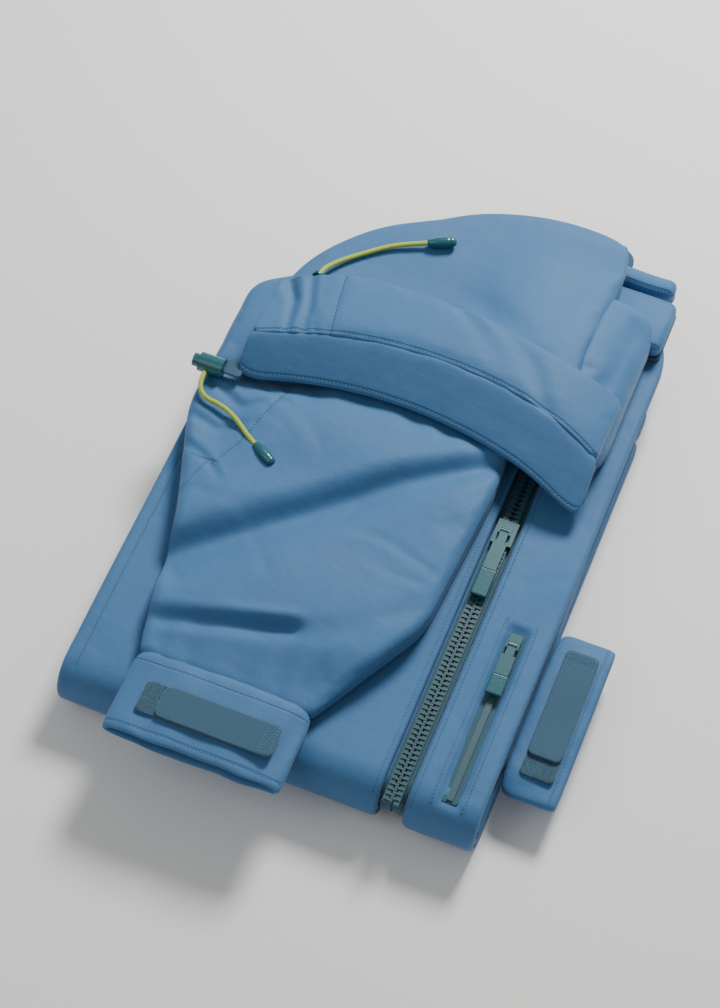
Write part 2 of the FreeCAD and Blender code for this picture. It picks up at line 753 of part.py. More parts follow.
hood_back_outline = [
    (hood_left + 2, size("hood_near")), (side_inner - gap, size("hood_near")),
    (side_inner - gap, hood_far - 2), (40, hood_far), (-14, hood_far - 14), (-40, hood_far - 32),
    (-74, hood_far - 52), (hood_left + 16, hood_far - 84), (hood_left + 2, hood_far - 118),
]
keep(flat_body("hood_back_panel", [(hood_back_outline, hood_low, size("hood_ply"))]),
     "hood_back_panel")


def arch(peak, centre, x):
    """The Y of the brim's seam or free edge at an X."""
    reach = (x - centre) / size("brim_half_span")
    return peak - size("brim_arch") * reach * reach


def seam_line(x):
    return arch(size("brim_seam_peak"), size("brim_seam_centre"), dim(x))


def edge_line(x):
    return arch(size("brim_edge_peak"), size("brim_edge_centre"), dim(x))


def crown_outline(x_low, x_high, far_low, far_high):
    """A crown panel: its near edge follows the brim's seam."""
    steps = 4
    near = [x_low + (x_high - x_low) * number / steps for number in range(steps + 1)]
    outline = [(x, seam_line(x) + size("seam_clearance")) for x in near]
    return outline + [(x_high, far_high), (x_low, far_low)]


crown_far = size("crown_far")
crown_step_far = crown_far - size("crown_step")
keep(flat_body("hood_center_panel",
               [(crown_outline(crown_left + gap, crown_right - gap, crown_far - 2, crown_far - 4),
                 crown_low, size("crown_ply"))]), "hood_center_panel")
keep(flat_body("hood_side_right",
               [(crown_outline(hood_left + 4, crown_left, crown_step_far, crown_step_far),
                 crown_low, size("crown_side_ply"))]), "hood_side_right")

cheek_low = torso_height + gap * 2
cheek_outline = [
    (side_inner, size("hood_near")), (hood_right - 6, size("hood_near")),
    (hood_right, size("hood_near") + 20), (hood_right, size("side_reach") - 14),
    (hood_right - 12, size("side_reach")), (side_inner, size("side_reach")),
]
keep(flat_body("hood_side_left",
               [(rectangle((side_inner, hood_right), (size("hood_near"), collar_y[0] - 2)),
                 cheek_low, crown_low - cheek_low + 0.5),
                (cheek_outline, hood_low + 1, crown_low - hood_low - 0.5),
                (crown_outline(crown_right, hood_right - 2, crown_far - 8, crown_far - size("crown_step") * 2),
                 crown_low, size("crown_side_ply"))]), "hood_side_left")


brim_seam_high = sleeve_top + size("brim_seam_rise")
brim_edge_high = sleeve_top + size("brim_edge_rise")


def brim_strip(label, depth_low, depth_high, inset):
    """A layer of the brim between two depths under its face, drawn in from its free edge, seam and
    ends by the inset."""
    stations = []
    span_low = hood_left + 2
    span_high = hood_right - 4
    steps = 9
    for number in range(steps + 1):
        x = span_low + (span_high - span_low) * number / steps
        if number == 0:
            x = x + inset
        if number == steps:
            x = x - inset
        reach = x / size("brim_half_span")
        drop = size("brim_end_drop") * reach * reach
        past = x - size("brim_turn_from")
        if past.value > 0:
            turned = past / size("brim_turn_span")
            drop = drop + size("brim_turn_down") * turned * turned
        rise = brim_seam_high - brim_edge_high
        slope = rise / (seam_line(x) - edge_line(x))
        seam_y = seam_line(x) - inset
        edge_y = edge_line(x) + inset
        seam_z = brim_seam_high - drop - inset * slope
        edge_z = brim_edge_high - drop + inset * slope
        corners = [(edge_y, edge_z - depth_high), (seam_y, seam_z - depth_high),
                   (seam_y, seam_z - depth_low), (edge_y, edge_z - depth_low)]
        stations.append((x, corners))
    return keep(lofted_body(label, stations), label)


stiffener_depth = size("brim_ply") + size("brim_layer_gap")
lining_depth = stiffener_depth + size("stiffener_ply") + size("brim_layer_gap")
brim_strip("hood_brim", dim(0), size("brim_ply"), dim(0))
brim_strip("hood_brim_stiffener", stiffener_depth, stiffener_depth + size("stiffener_ply"),
           size("stiffener_inset"))
brim_strip("hood_brim_lining", lining_depth, lining_depth + size("brim_lining_ply"), dim(0))

# ---------------------------------------------------------------- the cord lock

lock_x = size("lock_at_x")
lock_y = size("lock_at_y")
lock_z = sleeve_top + gap + size("lock_radius")
lock_right = lock_x + size("lock_length") - size("lock_hole_from_end")
lock_left = lock_right - size("lock_length")
plunger_radius = size("lock_bore_radius") - size("plunger_clearance")
plunger_left = lock_left - size("plunger_proud")
cord_slot = cord_hole + size("plunger_travel")

barrel = rod("lock_barrel", (lock_left, lock_y, lock_z), size("lock_radius"), size("lock_length"), "x")
bore = rod("lock_bore", (lock_left - 1, lock_y, lock_z), size("lock_bore_radius"),
           size("lock_bore_depth") + 1, "x")
cross = rod("lock_cross", (lock_x, lock_y - size("lock_radius") - 1, lock_z), cord_hole,
            size("lock_radius") * 2 + 2, "y")
keep(cut_from("hood_cord_lock", barrel, bore, cross), "hood_cord_lock")

plunger = rod("plunger_blank", (plunger_left, lock_y, lock_z), plunger_radius,
              size("plunger_length"), "x")
slot = block("plunger_slot", (lock_x - cord_slot, lock_x + cord_hole),
             (lock_y - size("lock_radius"), lock_y + size("lock_radius")),
             (lock_z - cord_hole, lock_z + cord_hole))
keep(cut_from("hood_cord_lock_plunger", plunger, slot), "hood_cord_lock_plunger")

spring_start = plunger_left + size("plunger_length") + gap
spring_room = lock_left + size("lock_bore_depth") - spring_start - gap


def spring(label):
    """A short coil spring of square wire between the plunger and the bottom of the bore."""
    half_wire = size("spring_wire").value / 2
    coil_radius = size("spring_radius").value - half_wire
    height = spring_room.value - size("spring_wire").value
    turns = size("spring_turns").value
    path = Part.makeHelix(height / turns, height, coil_radius)
    corners = [FreeCAD.Vector(coil_radius + across * half_wire, 0, along * half_wire)
               for across, along in ((-1, -1), (1, -1), (1, 1), (-1, 1), (-1, -1))]
    section = Part.makePolygon(corners)
    coil = doc.addObject("Part::Feature", label)
    coil.Shape = Part.Wire(path.Edges).makePipeShell([section], True, True)
    start = FreeCAD.Vector(spring_start.value + half_wire, lock_y.value, lock_z.value)
    coil.Placement = FreeCAD.Placement(start, TURN_TO["x"])
    return keep(coil, label)


spring("hood_cord_lock_spring")
brim_left = hood_left + 2
keep(block("hood_lock_tab", (lock_right + gap, brim_left - gap), 
           (lock_y - size("lock_tab_near"), lock_y + size("lock_tab_far")),
           (lock_z - 1, lock_z + 1)), "hood_lock_tab")

# ---------------------------------------------------------------- the cords

def cord_tube(label, points, diameter):
    """A tube along straight runs joined by tangent arcs. Each arc's radius is 0.45 of its shorter
    run, over the tangent of half the turn."""
    route = [FreeCAD.Vector(*point) for point in points]
    edges = []
    radii = []
    length = 0
    start = route[0]
    for before, here, after in zip(route, route[1:], route[2:]):
        run_in = here - before
        run_out = after - here
        turn = run_in.getAngle(run_out)
        cut_back = 0.45 * min(run_in.Length, run_out.Length)
        radius = cut_back / math.tan(turn / 2)
        arc_start = here - FreeCAD.Vector(run_in).normalize() * cut_back
        arc_end = here + FreeCAD.Vector(run_out).normalize() * cut_back
        middle_way = FreeCAD.Vector(run_out).normalize() - FreeCAD.Vector(run_in).normalize()
        bisector = FreeCAD.Vector(middle_way).normalize()
        centre_distance = radius / math.cos(turn / 2)
        arc_middle = here + bisector * (centre_distance - radius)
        edges.append(Part.LineSegment(start, arc_start).toShape())
        edges.append(Part.Arc(arc_start, arc_middle, arc_end).toShape())
        length += (arc_start - start).Length + radius * turn
        radii.append(radius)
        start = arc_end
    edges.append(Part.LineSegment(start, route[-1]).toShape())
    length += (route[-1] - start).Length
    direction = route[1] - route[0]
    disc = Part.Circle(route[0], direction, diameter.value / 2)
    section = Part.Wire([disc.toShape()])
    tube = doc.addObject("Part::Feature", label)
    tube.Shape = Part.Wire(edges).makePipeShell([section], True, True)
    tube.Placement = FreeCAD.Placement()
    expected = math.pi * (diameter.value / 2) ** 2 * length
    print(f"{label}: length {length:.1f}, radii", [round(radius, 1) for radius in radii],
          f"volume {tube.Shape.Volume:.0f} of {expected:.0f}")
    return keep(tube, label)


def cord_end(label, route):
    """A moulded end on the cord's last point, in line with its last run."""
    start = FreeCAD.Vector(*route[-1])
    direction = start - FreeCAD.Vector(*route[-2])
    radius = size("end_diameter").value / 2
    barrel = Part.makeCylinder(radius, size("end_length").value)
    rims = [edge for edge in barrel.Edges if isinstance(edge.Curve, Part.Circle)]
    near_rim, far_rim = sorted(rims, key=lambda edge: edge.CenterOfMass.z)
    softened = barrel.makeFillet(radius * 0.8, [far_rim])
    end = doc.addObject("Part::Feature", label)
    end.Shape = softened
    turn = FreeCAD.Rotation(FreeCAD.Vector(0, 0, 1), direction)
    end.Placement = FreeCAD.Placement(start, turn)
    return keep(end, label)


def lifted(points):
    """A route's points, raised onto the sleeve's top."""
    return [(x, y, sleeve_top.value + height) for x, y, height in points]


lock_mouth = lock_y - size("lock_radius")
lock_leads = [
    (lock_x.value, lock_mouth.value, (lock_z + size("lock_cord_rise")).value),
    (lock_x.value, (lock_mouth - size("lock_cord_lead")).value, lock_z.value),
]
front_route = lock_leads + lifted(FRONT_CORD)
rear_route = lifted(REAR_CORD)
cord_tube("hood_cord_front", front_route, size("cord_diameter"))
cord_end("hood_cord_front_end", front_route)
cord_tube("hood_cord_rear", rear_route, size("cord_diameter"))
cord_end("hood_cord_rear_end", rear_route)

eyelet_place = (REAR_CORD[0][0], crown_step_far + gap, sleeve_top + REAR_CORD[0][2])
keep(eyelet_ring("hood_cord_eyelet", eyelet_place, cord_hole), "hood_cord_eyelet")

# ---------------------------------------------------------------- check and write

doc.recompute()
for feature in doc.Objects:
    trouble = [state for state in feature.State if state in ("Invalid", "Error")]
    if trouble:
        raise RuntimeError(f"{feature.Name} ({feature.Label}) is {trouble}")
for piece in pieces:
    if piece.Shape.isNull() or not piece.Shape.isValid() or not piece.Shape.Solids:
        raise RuntimeError(f"{piece.Label} has no valid solid")

os.makedirs("parts", exist_ok=True)
for piece in pieces:
    piece.Shape.exportStep(os.path.join("parts", piece.Label + ".step"))
print(len(pieces), "pieces written")
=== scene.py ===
import math

import bmesh
import bpy
import numpy as np
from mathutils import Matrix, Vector
from mathutils.bvhtree import BVHTree
from mathutils.geometry import delaunay_2d_cdt


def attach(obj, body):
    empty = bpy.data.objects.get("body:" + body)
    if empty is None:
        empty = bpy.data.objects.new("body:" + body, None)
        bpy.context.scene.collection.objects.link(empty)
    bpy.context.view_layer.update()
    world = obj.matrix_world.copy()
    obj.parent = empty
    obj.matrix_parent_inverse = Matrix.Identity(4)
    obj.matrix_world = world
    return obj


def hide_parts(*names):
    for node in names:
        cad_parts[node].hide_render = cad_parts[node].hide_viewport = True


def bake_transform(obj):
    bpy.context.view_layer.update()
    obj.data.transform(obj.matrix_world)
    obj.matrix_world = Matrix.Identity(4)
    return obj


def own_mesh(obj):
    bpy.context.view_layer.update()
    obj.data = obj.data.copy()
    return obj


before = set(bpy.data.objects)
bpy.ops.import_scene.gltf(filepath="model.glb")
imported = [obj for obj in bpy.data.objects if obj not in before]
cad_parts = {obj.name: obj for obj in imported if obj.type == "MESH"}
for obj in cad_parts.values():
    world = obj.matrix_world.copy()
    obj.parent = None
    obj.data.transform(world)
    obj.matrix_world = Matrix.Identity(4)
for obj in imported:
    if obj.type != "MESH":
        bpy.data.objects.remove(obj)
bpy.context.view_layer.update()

# A hardshell jacket, zipped and folded flat. Lengths are in millimetres until a mesh is made;
# MM turns them into the frame's metres. X runs across the bundle, Y from the front fold to the neck.

MM = 0.001

STITCH_FIELDS = ("stitch_a", "stitch_b", "stitch_c")
STITCH_SPACING = 2.6
CLOTH_STIFFNESS = 12.0
CLOTH_FRAMES = 18
FRONT_PLY = 8.0


# ------------------------------------------------------------------ camera, light and floor

def put(name, data):
    """A new object made of that data, placed in the scene."""
    made = bpy.data.objects.new(name, data)
    bpy.context.scene.collection.objects.link(made)
    return made


def aim(thing, target, azimuth, elevation, distance):
    """Set a camera or a lamp so that it looks at the target from an azimuth and an elevation."""
    turn, rise = math.radians(azimuth), math.radians(elevation)
    away = Vector((math.sin(turn) * math.cos(rise), -math.cos(turn) * math.cos(rise), math.sin(rise)))
    thing.location = Vector(target) + away * distance
    thing.rotation_mode = "QUATERNION"
    thing.rotation_quaternion = away.to_track_quat("Z", "Y")


def make_camera():
    data = bpy.data.cameras.new("camera")
    data.lens = 85.7
    data.sensor_width = 36.0
    data.clip_start = 0.05
    data.clip_end = 20.0
    camera = put("camera", data)
    aim(camera, (0.0, 0.0, 0.085), 22.0, 60.0, 1.5)
    bpy.context.scene.camera = camera


def make_light(name, azimuth, elevation, distance, width, watts, colour):
    data = bpy.data.lights.new(name, "AREA")
    data.shape = "DISK"
    data.size = width
    data.energy = watts
    data.color = colour
    aim(put(name, data), (0.0, 0.0, 0.05), azimuth, elevation, distance)


def make_studio():
    world = bpy.data.worlds.new("studio")
    world.use_nodes = True
    sky = world.node_tree.nodes["Background"]
    sky.inputs["Color"].default_value = (1.0, 1.0, 1.0, 1.0)
    sky.inputs["Strength"].default_value = 0.34
    bpy.context.scene.world = world
    make_light("key", 172.0, 44.0, 1.7, 0.5, 40.0, (1.0, 0.985, 0.96))
    make_light("fill", -50.0, 50.0, 2.0, 1.4, 6.0, (0.95, 0.98, 1.0))
    mesh = bpy.data.meshes.new("floor")
    reach = 6.0
    corners = [(x, y, 0) for x, y in oblong(-reach, -reach, reach, reach)]
    mesh.from_pydata(corners, [], [(0, 1, 2, 3)])
    floor = put("floor", mesh)
    pale = bpy.data.materials.new("pale_floor")
    pale.use_nodes = True
    shader = pale.node_tree.nodes["Principled BSDF"]
    shader.inputs["Base Color"].default_value = (0.86, 0.86, 0.85, 1.0)
    shader.inputs["Roughness"].default_value = 0.9
    mesh.materials.append(pale)


# ------------------------------------------------------------------ materials

class Finish:
    """A material being wired up: short words for the nodes that it needs."""

    def __init__(self, name, roughness, metallic=0.0, sheen=0.0, coat=0.0):
        self.material = bpy.data.materials.new(name)
        self.material.use_nodes = True
        self.nodes = self.material.node_tree.nodes
        self.links = self.material.node_tree.links
        self.shader = self.nodes["Principled BSDF"]
        self.shader.inputs["Roughness"].default_value = roughness
        self.shader.inputs["Metallic"].default_value = metallic
        self.shader.inputs["Sheen Weight"].default_value = sheen
        self.shader.inputs["Sheen Roughness"].default_value = 0.4
        self.shader.inputs["Coat Weight"].default_value = coat
        self.shader.inputs["Coat Roughness"].default_value = 0.2
        self.bump = None

    def node(self, kind, **settings):
        made = self.nodes.new(kind)
        for key, value in settings.items():
            setattr(made, key, value)
        return made

    def join(self, start, end):
        self.links.new(start, end)

    def place(self):
        return self.node("ShaderNodeTexCoord").outputs["Object"]

    def scaled(self, vector, factors):
        mapping = self.node("ShaderNodeMapping")
        mapping.inputs["Scale"].default_value = factors
        self.join(vector, mapping.inputs["Vector"])
        return mapping.outputs["Vector"]

    def noise(self, vector, scale, detail=2.0, rough=0.5):
        made = self.node("ShaderNodeTexNoise")
        made.inputs["Scale"].default_value = scale
        made.inputs["Detail"].default_value = detail
        made.inputs["Roughness"].default_value = rough
        self.join(vector, made.inputs["Vector"])
        return made.outputs["Fac"]

    def wave(self, vector, scale, direction, distortion=0.0):
        made = self.node("ShaderNodeTexWave", wave_type="BANDS", bands_direction=direction)
        made.inputs["Scale"].default_value = scale
        made.inputs["Distortion"].default_value = distortion
        self.join(vector, made.inputs["Vector"])
        return made.outputs["Fac"]

    def maths(self, operation, first, second=None, third=None, clamp=False):
        made = self.node("ShaderNodeMath", operation=operation, use_clamp=clamp)
        for socket, value in zip(made.inputs, (first, second, third)):
            if value is None:
                continue
            if isinstance(value, (int, float)):
                socket.default_value = value
            else:
                self.join(value, socket)
        return made.outputs[0]

    def spread(self, value, low, high, to_low, to_high, smooth=False):
        made = self.node("ShaderNodeMapRange")
        if smooth:
            made.interpolation_type = "SMOOTHSTEP"
        for name, number in (("From Min", low), ("From Max", high), ("To Min", to_low),
                             ("To Max", to_high)):
            made.inputs[name].default_value = number
        self.join(value, made.inputs["Value"])
        return made.outputs["Result"]

    def blend(self, factor, first, second, kind="MIX"):
        made = self.node("ShaderNodeMix", data_type="RGBA", blend_type=kind)
        for socket, value in zip((made.inputs[0], made.inputs[6], made.inputs[7]),
                                 (factor, first, second)):
            if isinstance(value, (int, float)):
                socket.default_value = value
            elif isinstance(value, tuple):
                socket.default_value = (*value, 1.0)
            else:
                self.join(value, socket)
        return made.outputs[2]

    def raise_by(self, height, strength, distance):
        made = self.node("ShaderNodeBump")
        made.inputs["Strength"].default_value = strength
        made.inputs["Distance"].default_value = distance
        self.join(height, made.inputs["Height"])
        if self.bump is not None:
            self.join(self.bump, made.inputs["Normal"])
        self.bump = made.outputs["Normal"]

    def done(self, colour=None, roughness=None):
        if colour is not None:
            self.join(colour, self.shader.inputs["Base Color"])
        if roughness is not None:
            self.join(roughness, self.shader.inputs["Roughness"])
        if self.bump is not None:
            self.join(self.bump, self.shader.inputs["Normal"])
        return self.material


def wave_scale(pitch):
    """The scale at which a banded texture repeats once in each pitch, given in millimetres."""
    return math.tau / (pitch * MM) / 20.0


def cloth_finish(name, face, shade, weave_pitch, roughness=0.7, sheen=0.12):
    """Tight-woven shell cloth: a fine weave, slow random shifts of tone, faint rub marks, and a sewn
    groove with needle holes wherever a piece carries a stitch line, both darkened with painted shade."""
    finish = Finish(name, roughness, sheen=sheen)
    place = finish.place()
    turns = wave_scale(weave_pitch)
    warp = finish.wave(place, turns, "X", 0.6)
    weft = finish.wave(place, turns, "Y", 0.6)
    weave = finish.maths("MULTIPLY", warp, weft)
    slow = finish.noise(place, 14.0, 3.0, 0.55)
    rub = finish.noise(finish.scaled(place, (1.0, 2.4, 1.0)), 70.0, 4.0, 0.65)
    fine = finish.noise(place, 900.0, 2.0, 0.6)
    tone = finish.maths("ADD", finish.spread(slow, 0.3, 0.7, 0.0, 0.45),
                        finish.spread(rub, 0.3, 0.75, 0.0, 0.3))
    tone = finish.maths("ADD", tone, finish.spread(fine, 0.2, 0.8, 0.0, 0.25), clamp=True)
    colour = finish.blend(tone, shade, face)
    colour = finish.blend(finish.spread(weave, 0.0, 1.0, 0.12, 0.0), colour, shade)
    finish.raise_by(weave, 0.25, 0.00008)
    finish.raise_by(rub, 0.25, 0.0008)
    crinkle = finish.noise(place, 38.0, 3.0, 0.55)
    finish.raise_by(crinkle, 0.3, 0.003)
    for line in STITCH_FIELDS:
        field = finish.node("ShaderNodeAttribute", attribute_name=line)
        parts = finish.node("ShaderNodeSeparateXYZ")
        finish.join(field.outputs["Vector"], parts.inputs[0])
        run, aside, there = parts.outputs[0], parts.outputs[1], parts.outputs[2]
        away = finish.maths("ABSOLUTE", aside)
        groove = finish.spread(away, 0.25, 1.3, 1.0, 0.0, smooth=True)
        groove = finish.maths("MULTIPLY", groove, there)
        step = finish.maths("FRACT", finish.maths("DIVIDE", run, STITCH_SPACING))
        gap = finish.maths("ABSOLUTE", finish.maths("SUBTRACT", step, 0.5))
        needle_hole_shade = finish.spread(gap, 0.34, 0.48, 0.0, 1.0, smooth=True)
        thin = finish.spread(away, 0.15, 0.55, 1.0, 0.0, smooth=True)
        needle_hole_shade = finish.maths("MULTIPLY", finish.maths("MULTIPLY", needle_hole_shade, thin), there)
        # painted shade: the cloth is darkened along each stitch line's groove
        colour = finish.blend(finish.maths("MULTIPLY", groove, 0.1), colour, (0.01, 0.05, 0.09))
        # painted shade: the needle holes along each stitch line are painted dark
        colour = finish.blend(finish.maths("MULTIPLY", needle_hole_shade, 0.8), colour, (0.004, 0.02, 0.04))
        finish.raise_by(finish.maths("SUBTRACT", 1.0, groove), 0.6, 0.0006)
    return finish.done(colour, finish.spread(slow, 0.3, 0.7, roughness - 0.06, roughness + 0.06))


def ribbed_finish(name, face, shade, pitch, direction, roughness=0.8, sheen=0.3):
    """Narrow woven tape or webbing: ribs across it and a fine fleck."""
    finish = Finish(name, roughness, sheen=sheen)
    place = finish.place()
    ribs = finish.wave(place, wave_scale(pitch), direction, 0.3)
    fleck = finish.noise(place, 1500.0, 2.0, 0.6)
    colour = finish.blend(finish.spread(ribs, 0.0, 1.0, 0.0, 0.7), shade, face)
    colour = finish.blend(finish.spread(fleck, 0.35, 0.7, 0.0, 0.35), colour, shade)
    finish.raise_by(ribs, 0.6, 0.00025)
    finish.raise_by(fleck, 0.3, 0.0001)
    return finish.done(colour)


def pile_finish(name, face, shade):
    """The looped half of a hook-and-loop fastening."""
    finish = Finish(name, 0.95, sheen=0.6)
    place = finish.place()
    loops = finish.noise(place, 1100.0, 3.0, 0.75)
    patch = finish.noise(place, 120.0, 2.0, 0.5)
    colour = finish.blend(finish.spread(loops, 0.35, 0.65, 0.0, 1.0), shade, face)
    colour = finish.blend(finish.spread(patch, 0.4, 0.7, 0.0, 0.3), colour, shade)
    finish.raise_by(loops, 1.0, 0.0005)
    return finish.done(colour)


def moulded_finish(name, face, shade, roughness=0.38, coat=0.0, metallic=0.0):
    """A moulded or enamelled hard part: a faint mould grain and hairline scuffs."""
    finish = Finish(name, roughness, metallic=metallic, coat=coat)
    place = finish.place()
    grain = finish.noise(place, 2200.0, 2.0, 0.5)
    scuff = finish.noise(finish.scaled(place, (1.0, 6.0, 3.0)), 260.0, 5.0, 0.7)
    marks = finish.spread(scuff, 0.56, 0.72, 0.0, 1.0, smooth=True)
    colour = finish.blend(finish.spread(grain, 0.3, 0.7, 0.0, 1.0), shade, face)
    colour = finish.blend(finish.maths("MULTIPLY", marks, 0.25), colour,
                          tuple(min(1.0, channel * 2.2 + 0.02) for channel in face))
    finish.raise_by(grain, 0.15, 0.00005)
    return finish.done(colour, finish.spread(marks, 0.0, 1.0, roughness, roughness + 0.18))


def braid_finish(name, face, shade, dark):
    """A braided elastic cord: the piece's UV runs round it and along it, in braid cells."""
    finish = Finish(name, 0.6, sheen=0.35)
    cells = (52.0, 6.0, 1.0)
    place = finish.scaled(finish.node("ShaderNodeTexCoord").outputs["UV"], cells)
    parts = finish.node("ShaderNodeSeparateXYZ")
    finish.join(place, parts.inputs[0])
    left = finish.maths("ADD", parts.outputs[0], parts.outputs[1])
    right = finish.maths("SUBTRACT", parts.outputs[0], parts.outputs[1])
    bands = []
    for way in (left, right):
        band = finish.maths("PINGPONG", way, 0.5)
        bands.append(finish.spread(band, 0.02, 0.2, 0.0, 1.0, smooth=True))
    strand = finish.maths("MULTIPLY", bands[0], bands[1])
    fibre = finish.noise(finish.scaled(place, (1.0, 4.0, 1.0)), 3.0, 2.0, 0.6)
    colour = finish.blend(strand, dark, face)
    colour = finish.blend(finish.spread(fibre, 0.35, 0.7, 0.0, 0.45), colour, shade)
    finish.raise_by(strand, 0.7, 0.00022)
    finish.raise_by(fibre, 0.25, 0.00008)
    return finish.done(colour)


def make_finishes():
    return {
        "shell": cloth_finish("shell_cloth", (0.044, 0.162, 0.345), (0.033, 0.128, 0.285), 0.5),
        "under": cloth_finish("shell_cloth_inside", (0.04, 0.10, 0.19), (0.028, 0.075, 0.145), 0.6, 0.75),
        "tape": ribbed_finish("zip_tape", (0.045, 0.14, 0.21), (0.02, 0.07, 0.11), 0.9, "Y"),
        "webbing": ribbed_finish("cuff_webbing", (0.05, 0.14, 0.22), (0.02, 0.07, 0.12), 1.3, "X"),
        "pile": pile_finish("loop_pile", (0.05, 0.13, 0.2), (0.015, 0.05, 0.08)),
        "teeth": moulded_finish("zip_teeth", (0.02, 0.085, 0.11), (0.015, 0.065, 0.085), 0.42),
        "enamel": moulded_finish("zip_enamel", (0.03, 0.11, 0.135), (0.024, 0.09, 0.11), 0.3, 0.4, 0.3),
        "teal": moulded_finish("teal_moulding", (0.010, 0.105, 0.135), (0.008, 0.085, 0.11), 0.26, 0.35),
        "steel": moulded_finish("spring_wire", (0.6, 0.6, 0.62), (0.5, 0.5, 0.52), 0.25, 0.0, 1.0),
        "cord": braid_finish("lime_braid", (0.52, 0.66, 0.06), (0.38, 0.52, 0.035), (0.19, 0.28, 0.015)),
        "thread": moulded_finish("sewing_thread", (0.115, 0.28, 0.47), (0.08, 0.21, 0.38), 0.6),
        "plain": moulded_finish("stiff_sheet", (0.7, 0.7, 0.68), (0.62, 0.62, 0.6), 0.6),
    }


# ------------------------------------------------------------------ shaping cloth

def undulation(x, y, wavelength, seed, waves=6):
    """A slow, smooth rise and fall between about -1 and 1."""
    draw = np.random.default_rng(seed)
    total = np.zeros_like(np.asarray(x, float))
    for _ in range(waves):
        heading = draw.uniform(0, math.tau)
        length = wavelength * draw.uniform(0.7, 1.5)
        phase = draw.uniform(0, math.tau)
        across = (x * math.cos(heading) + y * math.sin(heading)) / length
        total = total + np.sin(across * math.tau + phase)
    return total / waves ** 0.5 / 1.4


def line_field(x, y, points):
    """For each place: how far along a line it lies, how far to its left, and how far beyond its ends."""
    points = np.array(points, float)
    place = np.stack([np.asarray(x, float), np.asarray(y, float)], -1)
    best = np.full(place.shape[:-1], np.inf)
    along = np.zeros_like(best)
    aside = np.zeros_like(best)
    beyond = np.zeros_like(best)
    gone = 0.0
    last = len(points) - 2
    for number, (start, end) in enumerate(zip(points, points[1:])):
        run = end - start
        length = np.hypot(*run)
        ahead = run / length
        raw = (place - start) @ ahead
        low = -np.inf if number == 0 else 0.0
        high = np.inf if number == last else length
        on = np.clip(raw, low, high)
        off = place - start - on[..., None] * ahead
        far = np.hypot(off[..., 0], off[..., 1])
        nearer = far < best
        side = ahead[0] * (place - start)[..., 1] - ahead[1] * (place - start)[..., 0]
        best = np.where(nearer, far, best)
        along = np.where(nearer, gone + on, along)
        aside = np.where(nearer, np.sign(side) * far, aside)
        past = np.maximum(-raw if number == 0 else 0.0, 0.0)
        past = past + np.maximum(raw - length if number == last else 0.0, 0.0)
        beyond = np.where(nearer, past, beyond)
        gone += length
    return along, aside, beyond


def crease(x, y, points, depth, width, fade=12.0, lip=0.0, steep=1.0):
    """A valley along a line. Widths and depths run evenly from the line's start to its end; the
    lip is a ridge on its left, and steep sharpens its left flank."""
    along, aside, beyond = line_field(x, y, points)
    total = sum(math.dist(a, b) for a, b in zip(points, points[1:]))
    part = np.clip(along / total, 0, 1)
    deep = depth[0] + (depth[1] - depth[0]) * part
    wide = width[0] + (width[1] - width[0]) * part
    flank = np.where(aside > 0, wide / steep, wide)
    shape = -deep * np.exp(-(aside / flank) ** 2)
    if lip:
        shape = shape + lip * np.exp(-((aside - wide * 1.1) / (wide * 0.8)) ** 2)
    return shape * np.exp(-(beyond / fade) ** 2)


def creased(rise, x, y, lines):
    """A face with creases pressed into it, one after another."""
    for line in lines:
        rise = rise + crease(x, y, *line)
    return rise


def mound(x, y, centre_x, centre_y, wide, long):
    """A smooth round rise of one at its centre."""
    return np.exp(-(((x - centre_x) / wide) ** 2 + ((y - centre_y) / long) ** 2))


def eased(part):
    """A step from nothing to one that starts and ends gently."""
    return part * part * (3 - 2 * part)


def oblong(x_low, y_low, x_high, y_high):
    return [(x_low, y_low), (x_high, y_low), (x_high, y_high), (x_low, y_high)]


def crumple(x, y, area, count, seed, depth=1.2, reach=34.0):
    """Short soft creases scattered over an area, at fixed places."""
    draw = np.random.default_rng(seed)
    x_low, y_low, x_high, y_high = area
    rise = np.zeros_like(np.asarray(x, float))
    for _ in range(count):
        centre = np.array([draw.uniform(x_low, x_high), draw.uniform(y_low, y_high)])
        heading = draw.uniform(0, math.pi)
        half = draw.uniform(0.35, 1.0) * reach / 2
        ahead = np.array([math.cos(heading), math.sin(heading)])
        bend = np.array([-ahead[1], ahead[0]]) * draw.uniform(-0.25, 0.25) * half
        line = [tuple(centre - ahead * half), tuple(centre + bend), tuple(centre + ahead * half)]
        deep = draw.uniform(0.4, 1.0) * depth
        wide = draw.uniform(2.6, 6.0)
        rise = rise + crease(x, y, line, (deep, deep * 0.5), (wide, wide * 1.6), half * 0.7, deep * 0.5)
    return rise


def smooth_loop(points, radius):
    """A closed outline with each corner cut into a curve that starts the radius before it."""
    points = np.array(points, float)
    curved = []
    for before, here, after in zip(np.roll(points, 1, axis=0), points, np.roll(points, -1, axis=0)):
        back, on = before - here, after - here
        start = here + back * min(radius / np.hypot(*back), 0.47)
        end = here + on * min(radius / np.hypot(*on), 0.47)
        for part in np.linspace(0, 1, 6):
            curved.append(start * (1 - part) ** 2 + here * 2 * part * (1 - part) + end * part ** 2)
    return np.array(curved)


def even_loop(points, step):
    """The closed outline again, with points evenly spaced."""
    closed = np.vstack([points, points[:1]])
    along = np.concatenate([[0], np.cumsum(np.hypot(*np.diff(closed, axis=0).T))])
    count = max(8, int(round(along[-1] / step)))
    at = np.linspace(0, along[-1], count, endpoint=False)
    return np.stack([np.interp(at, along, closed[:, k]) for k in (0, 1)], 1)


def edge_distance(place, loop):
    """How far each place is from the outline."""
    best = np.full(len(place), np.inf)
    for start, end in zip(loop, np.roll(loop, -1, axis=0)):
        run = end - start
        on = np.clip(((place - start) @ run) / max(run @ run, 1e-9), 0, 1)
        off = place - start - on[:, None] * run
        best = np.minimum(best, np.hypot(off[:, 0], off[:, 1]))
    return best


